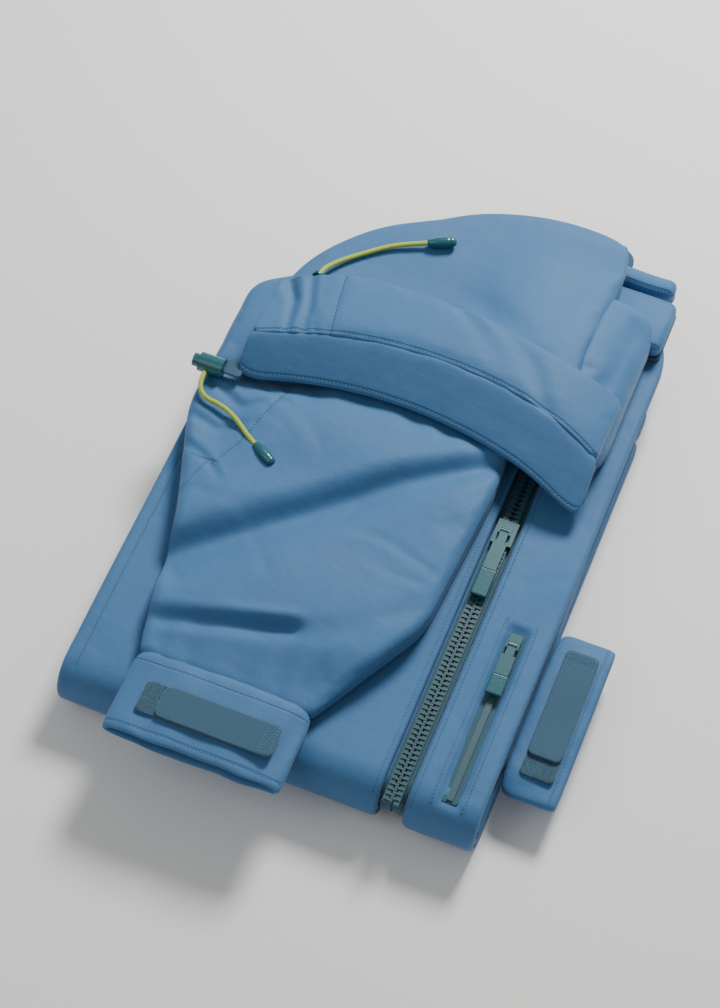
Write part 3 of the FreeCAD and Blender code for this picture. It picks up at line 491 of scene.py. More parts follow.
def inside(place, loop):
    """Whether each place lies inside the outline."""
    hit = np.zeros(len(place), bool)
    for (ax, ay), (bx, by) in zip(loop, np.roll(loop, -1, axis=0)):
        crosses = (ay > place[:, 1]) != (by > place[:, 1])
        if by != ay:
            hit ^= crosses & (place[:, 0] < (bx - ax) * (place[:, 1] - ay) / (by - ay) + ax)
    return hit


def new_piece(name, vertices, faces, material):
    """A smooth-shaded mesh object at the origin, from places in millimetres."""
    mesh = bpy.data.meshes.new(name)
    mesh.from_pydata([tuple(v) for v in np.asarray(vertices) * MM], [], [tuple(f) for f in faces])
    mesh.validate()
    mesh.materials.append(material)
    mesh.shade_smooth()
    return put(name, mesh)


def outwards(piece):
    """Merge doubles and turn every face outwards."""
    work = bmesh.new()
    work.from_mesh(piece.data)
    bmesh.ops.remove_doubles(work, verts=work.verts, dist=0.00002)
    bmesh.ops.recalc_face_normals(work, faces=work.faces)
    work.to_mesh(piece.data)
    work.free()
    piece.data.shade_smooth()


def read_points(mesh, what="co"):
    """Every point's place or normal, as rows of three."""
    values = np.zeros(len(mesh.vertices) * 3, np.float32)
    mesh.vertices.foreach_get(what, values)
    return values.reshape(-1, 3)


def mark_stitches(piece, lines):
    """Store, at every point, the run along each stitch line and the distance from it."""
    mesh = piece.data
    place = read_points(mesh) / MM
    upward = read_points(mesh, "normal")[:, 2] > 0.05
    for name, points in zip(STITCH_FIELDS, lines):
        along, aside, _ = line_field(place[:, 0], place[:, 1], points)
        total = sum(math.dist(a, b) for a, b in zip(points, points[1:]))
        there = ((along > -1) & (along < total + 1) & upward).astype(float)
        field = mesh.attributes.new(name, "FLOAT_VECTOR", "POINT")
        values = np.stack([along, aside, there], -1).astype(np.float32)
        field.data.foreach_set("vector", values.ravel())


def pillow(name, outline, material, low, top, step=4.0, corner=8.0, roll=None,
           slit=0.0):
    """A closed piece of cloth over an outline. low and top give its underside and its face at each
    X and Y; its edge is rolled over the given width, and the slit parts its two layers there."""
    loop = even_loop(smooth_loop(outline, corner), step)
    centre_gap = float(np.median(top(loop[:, 0], loop[:, 1]) - low(loop[:, 0], loop[:, 1])))
    roll = roll or max(centre_gap / 2, 1.0)
    ahead = np.roll(loop, -1, axis=0) - np.roll(loop, 1, axis=0)
    area = np.sum(loop[:, 0] * np.roll(loop[:, 1], -1) - loop[:, 1] * np.roll(loop[:, 0], -1))
    inward = np.stack([-ahead[:, 1], ahead[:, 0]], 1) * (1 if area > 0 else -1)
    inward = inward / np.maximum(np.hypot(inward[:, 0], inward[:, 1]), 1e-9)[:, None]
    rings = [loop]
    for turn in (25, 50, 72, 90):
        distance = roll * (1 - math.cos(math.radians(turn)))
        ring = loop + inward * distance
        keep = inside(ring, loop) & (edge_distance(ring, loop) > distance * 0.9)
        rings.append(ring[keep])
    x_low, y_low = loop.min(0)
    x_high, y_high = loop.max(0)
    grid = np.stack(np.meshgrid(np.arange(x_low, x_high, step), np.arange(y_low, y_high, step)), -1)
    grid = grid.reshape(-1, 2)
    grid = grid[inside(grid, loop)]
    grid = grid[edge_distance(grid, loop) > roll + step * 0.5]
    place = np.vstack(rings + [grid])
    count = len(loop)
    rim = [(number, (number + 1) % count) for number in range(count)]
    flat, _, triangles, *_ = delaunay_2d_cdt([Vector(p) for p in place], rim, [], 1, 1e-4)
    flat = np.array([tuple(p) for p in flat])
    distance = edge_distance(flat, loop)
    bulge = np.sqrt(np.clip(1 - (1 - np.minimum(distance, roll) / roll) ** 2, 0, 1))
    face, under = top(flat[:, 0], flat[:, 1]), low(flat[:, 0], flat[:, 1])
    face = np.maximum(face, under + 0.6)
    middle = (face + under) / 2
    on_rim = distance < 1e-3
    nearest = np.argmin(np.hypot(*(flat[on_rim][:, None] - loop[None]).transpose(2, 0, 1)), axis=1)
    flat = flat.copy()
    flat[on_rim] += inward[nearest] * slit
    upper = np.column_stack([flat, middle + (face - middle) * bulge])
    lower = np.column_stack([flat, middle + (under - middle) * bulge])
    index = np.arange(len(flat)) + len(flat)
    index[on_rim] = np.arange(len(flat))[on_rim]
    faces = [tuple(t) for t in triangles]
    faces += [tuple(int(index[v]) for v in reversed(t)) for t in triangles]
    piece = new_piece(name, np.vstack([upper, lower]), faces, material)
    work = bmesh.new()
    work.from_mesh(piece.data)
    loose = [v for v in work.verts if not v.link_faces]
    bmesh.ops.delete(work, geom=loose, context="VERTS")
    bmesh.ops.join_triangles(work, faces=work.faces, angle_face_threshold=0.7,
                             angle_shape_threshold=0.7)
    work.to_mesh(piece.data)
    work.free()
    outwards(piece)
    return piece


def settle(piece, pressure, growth, cap):
    """Let the cloth settle as cloth, with its rim and underside held: it grows a little and swells,
    so it buckles between its seams. No point moves further than the cap, in millimetres."""
    scene = bpy.context.scene
    mesh = piece.data
    rest = read_points(mesh)
    held = np.where(read_points(mesh, "normal")[:, 2] < 0.25)[0]
    cloth = piece.modifiers.new("cloth", "CLOTH")
    settings = cloth.settings
    settings.quality = 5
    settings.mass = 0.2
    settings.tension_stiffness = CLOTH_STIFFNESS
    settings.compression_stiffness = CLOTH_STIFFNESS
    settings.shear_stiffness = CLOTH_STIFFNESS / 2
    settings.bending_stiffness = 0.4
    settings.air_damping = 4.0
    settings.use_pressure = True
    settings.uniform_pressure_force = pressure
    settings.shrink_min = -growth
    settings.effector_weights.gravity = 0.0
    cloth.collision_settings.use_collision = False
    if len(held):
        group = piece.vertex_groups.new(name="pinned")
        group.add([int(number) for number in held], 1.0, "REPLACE")
        settings.vertex_group_mass = "pinned"
    cloth.point_cache.frame_start = 1
    cloth.point_cache.frame_end = CLOTH_FRAMES
    for number in range(1, CLOTH_FRAMES + 1):
        scene.frame_set(number)
    settled = piece.evaluated_get(bpy.context.evaluated_depsgraph_get()).to_mesh()
    shift = read_points(settled) - rest
    piece.modifiers.remove(cloth)
    scene.frame_set(1)
    shift[~np.isfinite(shift).all(1)] = 0.0
    length = np.linalg.norm(shift, axis=1, keepdims=True)
    shift = shift * np.minimum(1.0, cap * MM / np.maximum(length, 1e-9))
    mesh.vertices.foreach_set("co", (rest + shift).ravel())
    mesh.update()


def shift_points(piece, change):
    """Move a piece's points by a function of their places, in millimetres."""
    mesh = piece.data
    place = read_points(mesh) / MM
    mesh.vertices.foreach_set("co", (change(place) * MM).astype(np.float32).ravel())
    mesh.update()


def subdivide(piece, levels=1):
    modifier = piece.modifiers.new("smooth", "SUBSURF")
    modifier.levels = levels
    modifier.render_levels = levels


def apply_modifiers(piece):
    """Make the modifiers' result the piece's own mesh."""
    graph = bpy.context.evaluated_depsgraph_get()
    mesh = bpy.data.meshes.new_from_object(piece.evaluated_get(graph), depsgraph=graph)
    mesh.name = piece.name
    piece.modifiers.clear()
    piece.data = mesh
    mesh.shade_smooth()


def wear(piece, body, slot, *nodes):
    """Say which body a finished piece rides on and what it stands for. The slot, its finish, is not used."""
    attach(piece, body)
    if nodes:
        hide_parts(*nodes)


def shell_piece(piece, body, nodes, seams=(), smooth=True):
    """Finish a padded piece of shell cloth: its stitch lines, its smoothing and what it stands for."""
    mark_stitches(piece, seams)
    if smooth:
        subdivide(piece)
    wear(piece, body, "shell_fabric", *nodes)


# ------------------------------------------------------------------ the bundle's own shape

FRONT_FOLD = -165.0
FOLD_RADIUS = 21.6
FOLD_Y = FRONT_FOLD + FOLD_RADIUS
FOLD_RUN = math.pi * FOLD_RADIUS


def wrapped(place):
    """Flat cloth, laid round the front fold. Its second length runs from the underside round to
    the top, and its height is measured outwards from the torso's face."""
    x, run, out = place.T
    radius = FOLD_RADIUS + out
    turn = np.clip(run, 0, FOLD_RUN) / FOLD_RADIUS
    y = FOLD_Y - np.minimum(run, 0) - radius * np.sin(turn) + np.maximum(run - FOLD_RUN, 0)
    z = FOLD_RADIUS - radius * np.cos(turn)
    return np.stack([x, y, z], 1)


def on_top(x, y):
    """A place on the folded torso's upper side, as a place on the flat cloth."""
    return x, y - FOLD_Y + FOLD_RUN


def underneath(x, y):
    return x, FOLD_Y - y


def level(height):
    return lambda x, y: np.full_like(np.asarray(x, float), height)


def above_only(run):
    """One on the cloth's upper side, fading to nothing on the side that it lies on."""
    return np.clip((run - FOLD_RUN * 0.3) / 60.0, 0, 1)


def ply(name, x_low, x_high, lower_end, top_outline, depth, thick, finish, swell, seed, step=5.0,
        extra=None):
    """One ply of the torso, from its lower end round the front fold to its outline on top."""
    outline = [underneath(x_low, lower_end), underneath(x_high, lower_end)]
    outline += [on_top(x, y) for x, y in top_outline]

    def face(x, run):
        rise = swell * undulation(x, run, 90.0, seed) * above_only(run)
        rise = rise + (extra(x, run - FOLD_RUN + FOLD_Y) * above_only(run) if extra else 0.0)
        if swell > 0.4:
            rise = rise + crumple(x, run, (x_low, -40, x_high, 440), 26, seed, swell) * above_only(run)
        return -depth + rise

    piece = pillow(name, outline, finish, level(-depth - thick), face, step, 12.0, min(thick / 2, 4.0),
                   2.4 if thick > 5 else 0.0)
    shift_points(piece, wrapped)
    return piece


def bumps(x, y, seed, size, height):
    return height * undulation(x, y, size, seed)


# ------------------------------------------------------------------ the torso

def pocket_hollow(x, y):
    """The chest pocket's zip lies in a shallow channel, with its flaps puckered along it."""
    across = np.abs(x - 118.0)
    along = np.clip((np.minimum(y + 154.0, -22.0 - y)) / 4.0, 0, 1)
    channel = -3.4 * np.clip((7.8 - across) / 2.0, 0, 1)
    lip = 0.7 * np.exp(-((across - 9.5) / 2.2) ** 2) * (1 + 0.3 * np.sin(y / 3.1))
    return (channel + lip) * along


def make_torso(finish):
    shell, under, tape = finish["shell"], finish["under"], finish["tape"]
    right_top = [(77, 231), (66, 238), (21, 245), (-60, 210), (-140, 153)]
    right = ply("right_front", -140, 77, 160, right_top, 0.0, FRONT_PLY, shell, 0.7, 3)
    shell_piece(right, "jacket", ("right_front_panel",),
                [[(73, -158), (73, 60), (73, 222)], [(-130, -150), (-131, 20), (-132, 140)]])
    left_top = [(140, 200), (126, 231), (93, 231)]
    left = ply("left_front", 93, 140, 160, left_top, 0.0, FRONT_PLY, shell, 0.5, 5, 2.6, pocket_hollow)
    shell_piece(left, "jacket", ("left_front_panel",),
                [[(97, -158), (97, 60), (97, 222)], [(108, -156), (108, -20)], [(128, -156), (128, -20)]],
                smooth=False)
    back_top = [(139, 205), (120, 243), (30, 243), (-60, 208), (-139, 152)]
    back = ply("back_cloth", -139, 139, 158, back_top, 8.3, 6.0, shell, 0.3, 7, 6.0)
    shell_piece(back, "jacket", ("back_panel",), smooth=False)

    flap = ply("storm_flap_cloth", 77.3, 92.7, 158, [(92.7, 193), (77.3, 193)], 7.0, 1.0, under, 0.1, 9, 3.0)
    wear(flap, "jacket", "shell_fabric", "storm_flap")

    for side, low, high in (("right", 77.3, 84.2), ("left", 85.8, 92.7)):
        strip = ply(f"zip_tape_{side}", low, high, 157, [(high, 193), (low, 193)], 5.9, 0.8, tape,
                    0.05, 11, 2.2)
        wear(strip, "jacket", "zip_tape", f"front_zip_tape_{side}")
    for side, low, high in (("right", 112.3, 117.7), ("left", 118.3, 123.7)):
        strip = pillow(f"pocket_tape_{side}", oblong(low, -149.7, high, -26.3), tape,
                       level(40.2), level(41.0), 1.8, 1.0, 0.4)
        wear(strip, "jacket", "zip_tape", f"pocket_zip_tape_{side}")
    bag = pillow("pocket_bag_cloth", oblong(101.5, -149.5, 133.5, -26.5), under,
                 level(35.2), level(36.9), 3.0, 3.0)
    wear(bag, "jacket", "lining", "pocket_bag")

    def hem_face(x, y):
        return 14.3 + 0.5 * np.sin(x / 7.0) + bumps(x, y, 15, 40.0, 0.5)
    hem = pillow("hem", oblong(-139, 160.4, 139, 182.2), shell, level(0.05), hem_face, 3.0, 8.0, 7.0, 2.0)
    shell_piece(hem, "jacket", ("hem_band",), [[(-136, 163.6), (136, 163.6)]])

    left_arm = [(-125, -110), (40, -144), (140.4, -124), (140.4, -6), (134, 200), (20, 205), (-125, 83)]
    sleeve = pillow("left_sleeve_roll", left_arm, shell, level(14.7), level(28.5), 6.0, 20.0, 6.0, 2.6)
    shell_piece(sleeve, "jacket", ("left_sleeve",), smooth=False)


# ------------------------------------------------------------------ the right sleeve

VALLEY = [(-104, -64), (-38, -8), (13, 36), (73, 78)]
SLOT = [(-92, -110), (-52, -98), (-12, -86)]
SLEEVE_SEAM = [(-79, 80), (-86, 56), (-94, 25), (-104, 4)]
SLEEVE_CROSS = [(-101, 5), (-120, 6)]
GUSSET_SEAM = [(-108, 4), (-118, -30), (-108, -60)]
SLEEVE_FOLDS = (
    (VALLEY, (13.5, 5.5), (20.0, 9.0), 14.0, 1.8, 1.7),
    (SLOT, (10.0, 8.0), (7.5, 5.0), 7.0, 1.8, 1.4),
    ([(-20, -95), (18, -80), (52, -48)], (2.6, 1.0), (7.0, 12.0), 16.0),
)
SLEEVE_PLEATS = (
    ([(-126, 62), (-104, 52), (-90, 60)], (2.6, 1.4), (4.0, 3.0), 6.0, 1.3),
    ([(-127, 34), (-112, 30), (-98, 40)], (2.4, 1.2), (4.0, 2.6), 6.0, 1.2),
    ([(-110, 82), (-92, 70), (-76, 64)], (2.2, 0.8), (4.0, 3.0), 6.0, 1.0),
    ([(-128, 14), (-112, 8), (-98, -2)], (2.0, 1.0), (3.4, 3.0), 6.0, 0.8),
    (SLEEVE_SEAM, (0.9, 0.9), (1.2, 1.2), 3.0, 0.35),
)


def sleeve_face(x, y):
    """The sleeve's upper face: plump, with the long valley across it and the pleats at its side."""
    open_air = np.clip((96.0 - y) / 26.0, 0, 1)
    rise = 61.4 + 3.0 * open_air + bumps(x, y, 21, 150.0, 1.3) * open_air
    rise = rise + open_air * 3.2 * mound(x, y, -20, 48, 70, 26)
    rise = rise + 3.2 * mound(x, y, 5, -62, 60, 40)
    rise = creased(rise, x, y, SLEEVE_FOLDS)
    rise = rise - 5.5 * mound(x, y, -112, 42, 19, 30)
    rise = creased(rise, x, y, SLEEVE_PLEATS)
    along, aside, beyond = line_field(x, y, [(-80, 80), (-28, 84), (20, 80), (66, 74)])
    pucker = np.sin(along / 4.6 + 1.3 * np.sin(along / 17.0)) * np.exp(-(aside / 8.0) ** 2)
    rise = rise + 0.75 * pucker * np.exp(-(beyond / 6) ** 2)
    rise = rise - 8.0 * mound(x, y, -92, 82, 34, 14)
    rise = rise + crease(x, y, [(-124, 76), (-98, 83), (-66, 90)], (7.0, 4.0), (6.0, 5.0), 8.0)
    rise = rise + crumple(x, y, (-110, -125, 60, 60), 14, 71, 0.9, 46.0)
    cuff_end = eased(np.clip((-84.0 - y) / 40.0, 0, 1))
    gather = 0.8 * np.sin(x / 4.2 + 1.2 * np.sin(x / 13.0)) * cuff_end
    return rise - cuff_end * (rise - 57.6) + gather


def make_right_sleeve(finish):
    outline = [(-93, -136), (21, -136), (28, -124), (66, -55), (73, 55), (64, 153), (22, 229), (-60, 202),
               (-139, 149), (-139, 40), (-112, -40), (-98, -124)]
    sleeve = pillow("right_sleeve", outline, finish["shell"], level(43.6), sleeve_face, 2.9, 14.0, 8.0, 3.2)
    settle(sleeve, 1.1, 0.004, 1.6)
    shell_piece(sleeve, "jacket", ("right_sleeve_under", "right_sleeve_upper"),
                [SLEEVE_SEAM, GUSSET_SEAM, SLEEVE_CROSS])


# ------------------------------------------------------------------ the cuffs and their tabs

# each cuff from its sleeve out to its open end and back inside: a place along it and two half-widths
RIGHT_CUFF_RINGS = (
    (-128.5, 40, 4), (-130, 54, 7.2), (-134, 58.4, 8.0), (-145, 58.8, 8.2), (-158, 58.6, 8.3),
    (-170, 58.8, 8.3), (-180, 58.9, 8.1), (-185, 58.6, 7.8), (-187, 57.4, 6.6), (-186.4, 55.6, 5.0),
    (-183, 54.4, 3.9), (-170, 54, 3.5), (-156, 53.6, 3.2), (-147, 52, 2.4), (-146, 40, 1.2),
)
LEFT_CUFF_RINGS = (
    (139.5, 40, 3.5), (141, 54, 6.0), (144, 58.4, 6.9), (152, 58.9, 7.0), (160, 58.7, 7.0),
    (168, 58.9, 7.0), (174, 58.9, 6.8), (177, 58, 6.0), (178, 56.6, 4.9), (177, 55.0, 3.6),
    (174, 54.4, 2.9), (164, 54, 2.6), (154, 53, 2.2), (149.5, 51, 1.6), (149, 40, 0.8),
)


def side_faces(rows, around):
    """The faces between each ring of points and the next."""
    faces = []
    for ring in range(rows - 1):
        for number in range(around):
            following = (number + 1) % around
            faces.append((ring * around + number, ring * around + following,
                          (ring + 1) * around + following, (ring + 1) * around + number))
    return faces


def tube(name, rings, material, around=96, power=3.2):
    """A flattened tube closed at both ends. Each ring is a centre, its long and short half-widths,
    the two directions that they run in, and a seed for its wobble."""
    vertices = []
    for centre, wide, tall, wide_way, tall_way, seed in rings:
        for number in range(around):
            turn = math.tau * number / around
            c, s = math.cos(turn), math.sin(turn)
            a = math.copysign(abs(c) ** (2 / power), c) * wide
            b = math.copysign(abs(s) ** (2 / power), s) * tall
            wobble = 0.45 * math.sin(turn * 3 + seed) + 0.25 * math.sin(turn * 7 + seed * 2)
            b += wobble * (1 if tall > 6 else 0.4)
            vertices.append(np.array(centre) + np.array(wide_way) * a + np.array(tall_way) * b)
    faces = side_faces(len(rings), around)
    for ring, order in ((0, -1), (len(rings) - 1, 1)):
        middle = len(vertices)
        vertices.append(np.array(rings[ring][0], float))
        for number in range(around):
            following = (number + 1) % around
            faces.append((ring * around + number, ring * around + following, middle)[::order])
    piece = new_piece(name, vertices, faces, material)
    outwards(piece)
    return piece


def cuff_folds(x, y, area, seed):
    """The soft lengthwise waves of a sewn cuff, the same through both of its layers."""
    return crumple(x, y, area, 9, seed, 1.4, 40.0) + 0.6 * undulation(x, y, 45.0, seed)


def make_cuffs(finish):
    shell = finish["shell"]
    rings = []
    for y, wide, tall in RIGHT_CUFF_RINGS:
        rings.append(((-36, y, 51.75), wide, tall, (1, 0, 0), (0, 0, 1), y / 17.0))
    cuff = tube("right_cuff_cloth", rings, shell)
    shift_points(cuff, lambda p: p + np.stack([
        0 * p[:, 0], 0.7 * undulation(p[:, 0], p[:, 2], 34.0, 81),
        cuff_folds(p[:, 0], p[:, 1], (-95, -180, 20, -135), 82)], 1))
    shell_piece(cuff, "jacket", ("right_cuff",), [[(-93, -182), (21, -182)], [(-93, -137), (21, -137)]])

    rings = []
    for x, wide, tall in LEFT_CUFF_RINGS:
        rings.append(((x, -65, 21.6), wide, tall, (0, 1, 0), (0, 0, 1), x / 17.0))
    cuff = tube("left_cuff_cloth", rings, shell)
    shift_points(cuff, lambda p: p + np.stack([
        0 * p[:, 0], 0 * p[:, 0], cuff_folds(p[:, 0], p[:, 1], (142, -122, 176, -8), 84) * 0.8], 1))
    shell_piece(cuff, "jacket", ("left_cuff",), [[(173.5, -122), (173.5, -8)]])

    for side, outline, low, top in (("right", oblong(-79, -172, -11, -150), 59.6, 61.2),
                                    ("left", oblong(149, -110, 171, -42), 28.4, 29.8)):
        patch = pillow(f"{side}_loop_patch", outline, finish["pile"], level(low), level(top), 2.2, 3.0, 0.7)
        wear(patch, "jacket", "loop_pile", f"{side}_cuff_loop_patch")


def make_tabs(finish):
    """The cuff tabs, each thickest over its sewn end, lying on their patches."""
    right = [(-66, -171), (-60, -172), (11.3, -172), (11.3, -150), (-60, -150), (-66, -151)]
    left = [(150, -96.5), (170, -96.5), (171, -92), (171, -19.7), (149, -19.7), (149, -92)]

    def right_face(x, y):
        return 63.5 + 0.25 * np.sin(x / 9.0) + 0.5 * np.clip((x - 4) / 3, 0, 1)

    def left_face(x, y):
        return 32.1 + 0.25 * np.sin(y / 9.0) + 0.5 * np.clip((y + 27) / 3, 0, 1)
    for side, outline, low, face in (("right", right, 61.5, right_face), ("left", left, 30.1, left_face)):
        tab = pillow(f"{side}_tab_webbing", outline, finish["webbing"], level(low), face, 1.8, 4.0, 0.9)
        wear(tab, f"{side}_tab", "webbing", f"{side}_cuff_tab")


# ------------------------------------------------------------------ collar, yoke and hanger loop

HANGER_PATH = (
    (58.2, 259.8, 45.6), (58.2, 266, 45.7), (59.4, 270.4, 45.7), (63, 273.4, 45.7), (69, 273.9, 45.7),
    (75, 273.9, 45.7), (81, 273.9, 45.7), (87, 273.4, 45.7), (90.6, 270.4, 45.7), (91.8, 266, 45.7),
    (91.8, 259.8, 45.6),
)


def make_neck(finish):
    shell = finish["shell"]

    def collar_face(x, y):
        fold = 2.6 * np.exp(-((x - 85) / 2.4) ** 2)
        return 59.6 + 0.9 * np.sin(y / 6.5) - fold + bumps(x, y, 31, 40.0, 0.6)
    collar = pillow("collar_folds", oblong(64, 196, 136, 240), shell, level(46.1), collar_face,
                    2.8, 9.0, 6.0, 2.6)
    shell_piece(collar, "jacket", ("collar",), [[(66, 199.5), (134, 199.5)], [(66, 236), (134, 236)]])
    lining = pillow("collar_inside", oblong(65, 197, 135, 239), finish["under"], level(43.4), level(46.0),
                    3.0, 4.0, 1.2)
    wear(lining, "jacket", "lining", "collar_lining")

    def yoke_face(x, y):
        return 55.4 + 0.8 * np.sin(x / 11.0 + 0.7) + bumps(x, y, 33, 35.0, 0.5)
    yoke = pillow("back_yoke_roll", oblong(20, 243.5, 130, 261.3), shell, level(35.3), yoke_face,
                  2.8, 8.0, 7.5, 2.6)
    shell_piece(yoke, "jacket", ("back_yoke",), [[(24, 247.5), (126, 247.5)], [(24, 258), (126, 258)]])

    loop = band("hanger_band", HANGER_PATH, 5.6, 1.5, (0, 0, 1), finish["webbing"])
    subdivide(loop)
    wear(loop, "jacket", "webbing", "hanger_loop")


def band(name, path, width, thick, up, material):
    """A flat band along a path, its face towards up."""
    path = np.array(path, float)
    ahead = np.gradient(path, axis=0)
    ahead = ahead / np.linalg.norm(ahead, axis=1, keepdims=True)
    aside = np.cross(ahead, np.array(up, float))
    aside = aside / np.linalg.norm(aside, axis=1, keepdims=True)
    over = np.cross(aside, ahead)
    shape = [(-1, -0.5), (-0.9, 0.5), (-0.45, 0.62), (0.45, 0.62), (0.9, 0.5), (1, -0.5), (0.45, -0.62),
             (-0.45, -0.62)]
    rings = [[p + a * u * width / 2 + o * v * thick for u, v in shape]
             for p, a, o in zip(path, aside, over)]
    return lofted(name, rings, material)


def lofted(name, rings, material):
    """A closed piece through a row of equal rings."""
    around = len(rings[0])
    vertices = [point for ring in rings for point in ring]
    faces = side_faces(len(rings), around)
    faces.append(tuple(range(around))[::-1])
    last = (len(rings) - 1) * around
    faces.append(tuple(range(last, last + around)))
    piece = new_piece(name, vertices, faces, material)
    outwards(piece)
    return piece


# ------------------------------------------------------------------ the hood

BRIM_EDGE_HEIGHT = 71.6
BRIM_RISE = 17.4
HOOD_BACK_HEIGHT = 75.4
PANEL_SEAM = [(-73, 158), (-70, 137), (-65, 108)]
CROWN_CREASES = (
    (PANEL_SEAM, (1.0, 0.9), (1.4, 1.4), 3.0, 0.3),
    ([(-106, 142), (-97, 126), (-94, 110)], (4.6, 2.4), (5.0, 3.0), 7.0, 1.8, 1.4),
    ([(-92, 146), (-86, 128), (-82, 106)], (1.6, 2.6), (3.0, 2.4), 6.0, 1.3, 1.3),
    ([(-80, 120), (-76, 108), (-74, 104)], (1.0, 1.5), (2.4, 2.0), 5.0, 0.8),
    ([(44, 150), (62, 138), (82, 112)], (1.2, 2.0), (9.0, 6.0), 12.0),
    ([(8, 158), (26, 146), (40, 134)], (1.5, 0.6), (4.0, 8.0), 12.0, 0.6),
)
# the hem turned under at the brim's free edge: how far in from the edge, and how far down
BRIM_HEM = (
    (8, 0.0), (5, 0.0), (2.8, 0.1), (2.1, 0.35), (1.4, 0.1), (0.4, 0.7), (-0.2, 1.6), (-0.1, 2.5),
    (0.9, 3.1), (3.2, 3.6), (6.6, 5.2), (6.8, 4.1), (5.4, 3.3), (3.4, 2.2), (8, 2.1),
)


def arch(x, peak, centre):
    return peak - 19.0 * ((x - centre) / 108.0) ** 2


def seam_y(x):
    """Where the brim is sewn to the crown."""
    return arch(x, 116.0, 5.0)


def edge_y(x):
    """Where the brim's free edge lies, before its ends are rounded."""
    return arch(x, 86.0, -10.0)


def crown_stitches(places):
    """The row of stitches behind the brim's seam."""
    return [(x, seam_y(x) + 3.2) for x in places]


def brim_stitches(places):
    """The row of stitches along the brim's free edge."""
    return [(x, edge_y(x) + end_round(x) + 2.1) for x in places]


def end_round(x):
    """How far the brim's free edge is drawn in towards its seam near the ends."""
    past = np.clip((np.abs(x - 5.0) - 101.0) / 20.0, 0, 1)
    return 8.0 * (1 - np.sqrt(1 - past * past * 0.98))


def end_drop(x):
    return 4.0 * (x / 108.0) ** 2 + 10.0 * (np.maximum(x - 70.0, 0) / 50.0) ** 2


CROWN_FOLD = [(-114, 141), (-109, 146), (-92, 151), (-74, 157), (-50, 161), (-20, 161), (8, 160),
              (20, 159), (42, 156), (70, 150), (100, 146), (126, 142)]


def crown_face(x, y):
    """The crown's upper face, between the brim's seam and the crisp fold at its back."""
    back = y - seam_y(x)
    rise = 89.4 - end_drop(x) + 2.2 * (1 - np.exp(-np.maximum(back, 0) / 7.0)) - 0.014 * back
    left_end = np.exp(-((x + 108) / 16) ** 2)
    rise = rise - 3.0 * left_end * np.clip(back / 30, 0, 1)
    return creased(rise, x, y, CROWN_CREASES) + bumps(x, y, 41, 70.0, 0.45)


def back_face(x, y):
    """The hood's back: flat and smooth behind the crown's fold, and swelling to meet the crown
    towards the right."""
    meets = eased(np.clip((x + 6.0) / 66.0, 0, 1))
    away = np.clip((y - 142.0) / 104.0, 0, 1)
    crest = (90.6 - end_drop(x) - HOOD_BACK_HEIGHT) * (1 - eased(away))
    rise = HOOD_BACK_HEIGHT + meets * crest
    rise = rise - 1.6 * mound(x, y, -20, 178, 46, 20) * (1 - meets)
    rise = creased(rise, x, y, (([(20, 172), (44, 160), (84, 126)], (2.2, 1.4), (9.0, 10.0), 16.0),
                                ([(-8, 168), (6, 196), (10, 226)], (1.6, 0.5), (10.0, 15.0), 14.0)))
    rise = rise + bumps(x, y, 43, 110.0, 0.7)
    fold = np.interp(x, [place[0] for place in CROWN_FOLD], [place[1] for place in CROWN_FOLD])
    beneath = eased(np.clip((y - fold + 15.0) / 11.0, 0, 1))
    return np.minimum(rise, crown_face(x, y) - 2.6 + beneath * 20.0)


def brim_face(x, y):
    """The brim's face between its seam and its free edge."""
    part = (y - edge_y(x)) / (seam_y(x) - edge_y(x))
    edge = BRIM_EDGE_HEIGHT - end_drop(x)
    return edge + BRIM_RISE * part


def cheek_face(x, y):
    """The side of the hood, turned down beside the torso and tucked under the brim."""
    rise = 88.6 - end_drop(x) - 0.05 * np.maximum(y - 150, 0) - 5.0 * np.clip((y - 178) / 44, 0, 1)
    rise = rise + crease(x, y, [(96, 128), (112, 150), (118, 196)], (1.0, 2.0), (6.0, 7.0), 12.0)
    rise = rise + bumps(x, y, 47, 50.0, 0.7)
    rise = rise + crumple(x, y, (90, 110, 128, 220), 7, 73, 1.3, 30.0)
    tucked = brim_face(x, y) - 6.4
    return np.where(y < seam_y(x) + 1.5, np.minimum(rise, tucked), rise)


def make_hood(finish):
    shell = finish["shell"]
    outline = [(-114, 106), (94, 106), (97, 120), (97, 250), (86, 264.5), (40, 265.5), (-10, 252),
               (-38, 234), (-74, 212), (-102, 180), (-115, 146)]
    back = pillow("hood_back", outline, shell, level(62.6), back_face, 3.8, 26.0, 6.0, 2.6)
    settle(back, 0.9, 0.003, 1.2)
    shell_piece(back, "hood", ("hood_back_panel",))

    near = [(x, seam_y(x) - 0.1) for x in np.linspace(-115, 125, 22)]
    crown = pillow("hood_crown", near + CROWN_FOLD[::-1], shell,
                   lambda x, y: 77.0 - end_drop(x) * 0.9, crown_face, 3.0, 5.0, 1.3, 0.4)
    settle(crown, 1.0, 0.004, 0.9)
    shell_piece(crown, "hood", ("hood_center_panel", "hood_side_right"),
                [crown_stitches(np.linspace(-113, 124, 40)), PANEL_SEAM])

    cheek = pillow("hood_cheek", [(84, 93), (123, 93), (130, 104), (130, 206), (120, 221), (84, 221)],
                   shell, level(44.0), cheek_face, 3.2, 14.0, 12.0, 3.0)
    settle(cheek, 0.8, 0.003, 0.9)
    shell_piece(cheek, "hood", ("hood_side_left",))
    make_brim(finish)
    make_hood_neck(finish)
    tab = pillow("lock_strap", oblong(-124.4, 67, -112, 79), finish["webbing"], level(67.6), level(69.5),
                 1.6, 2.0, 0.8)
    wear(tab, "hood", "webbing", "hood_lock_tab")


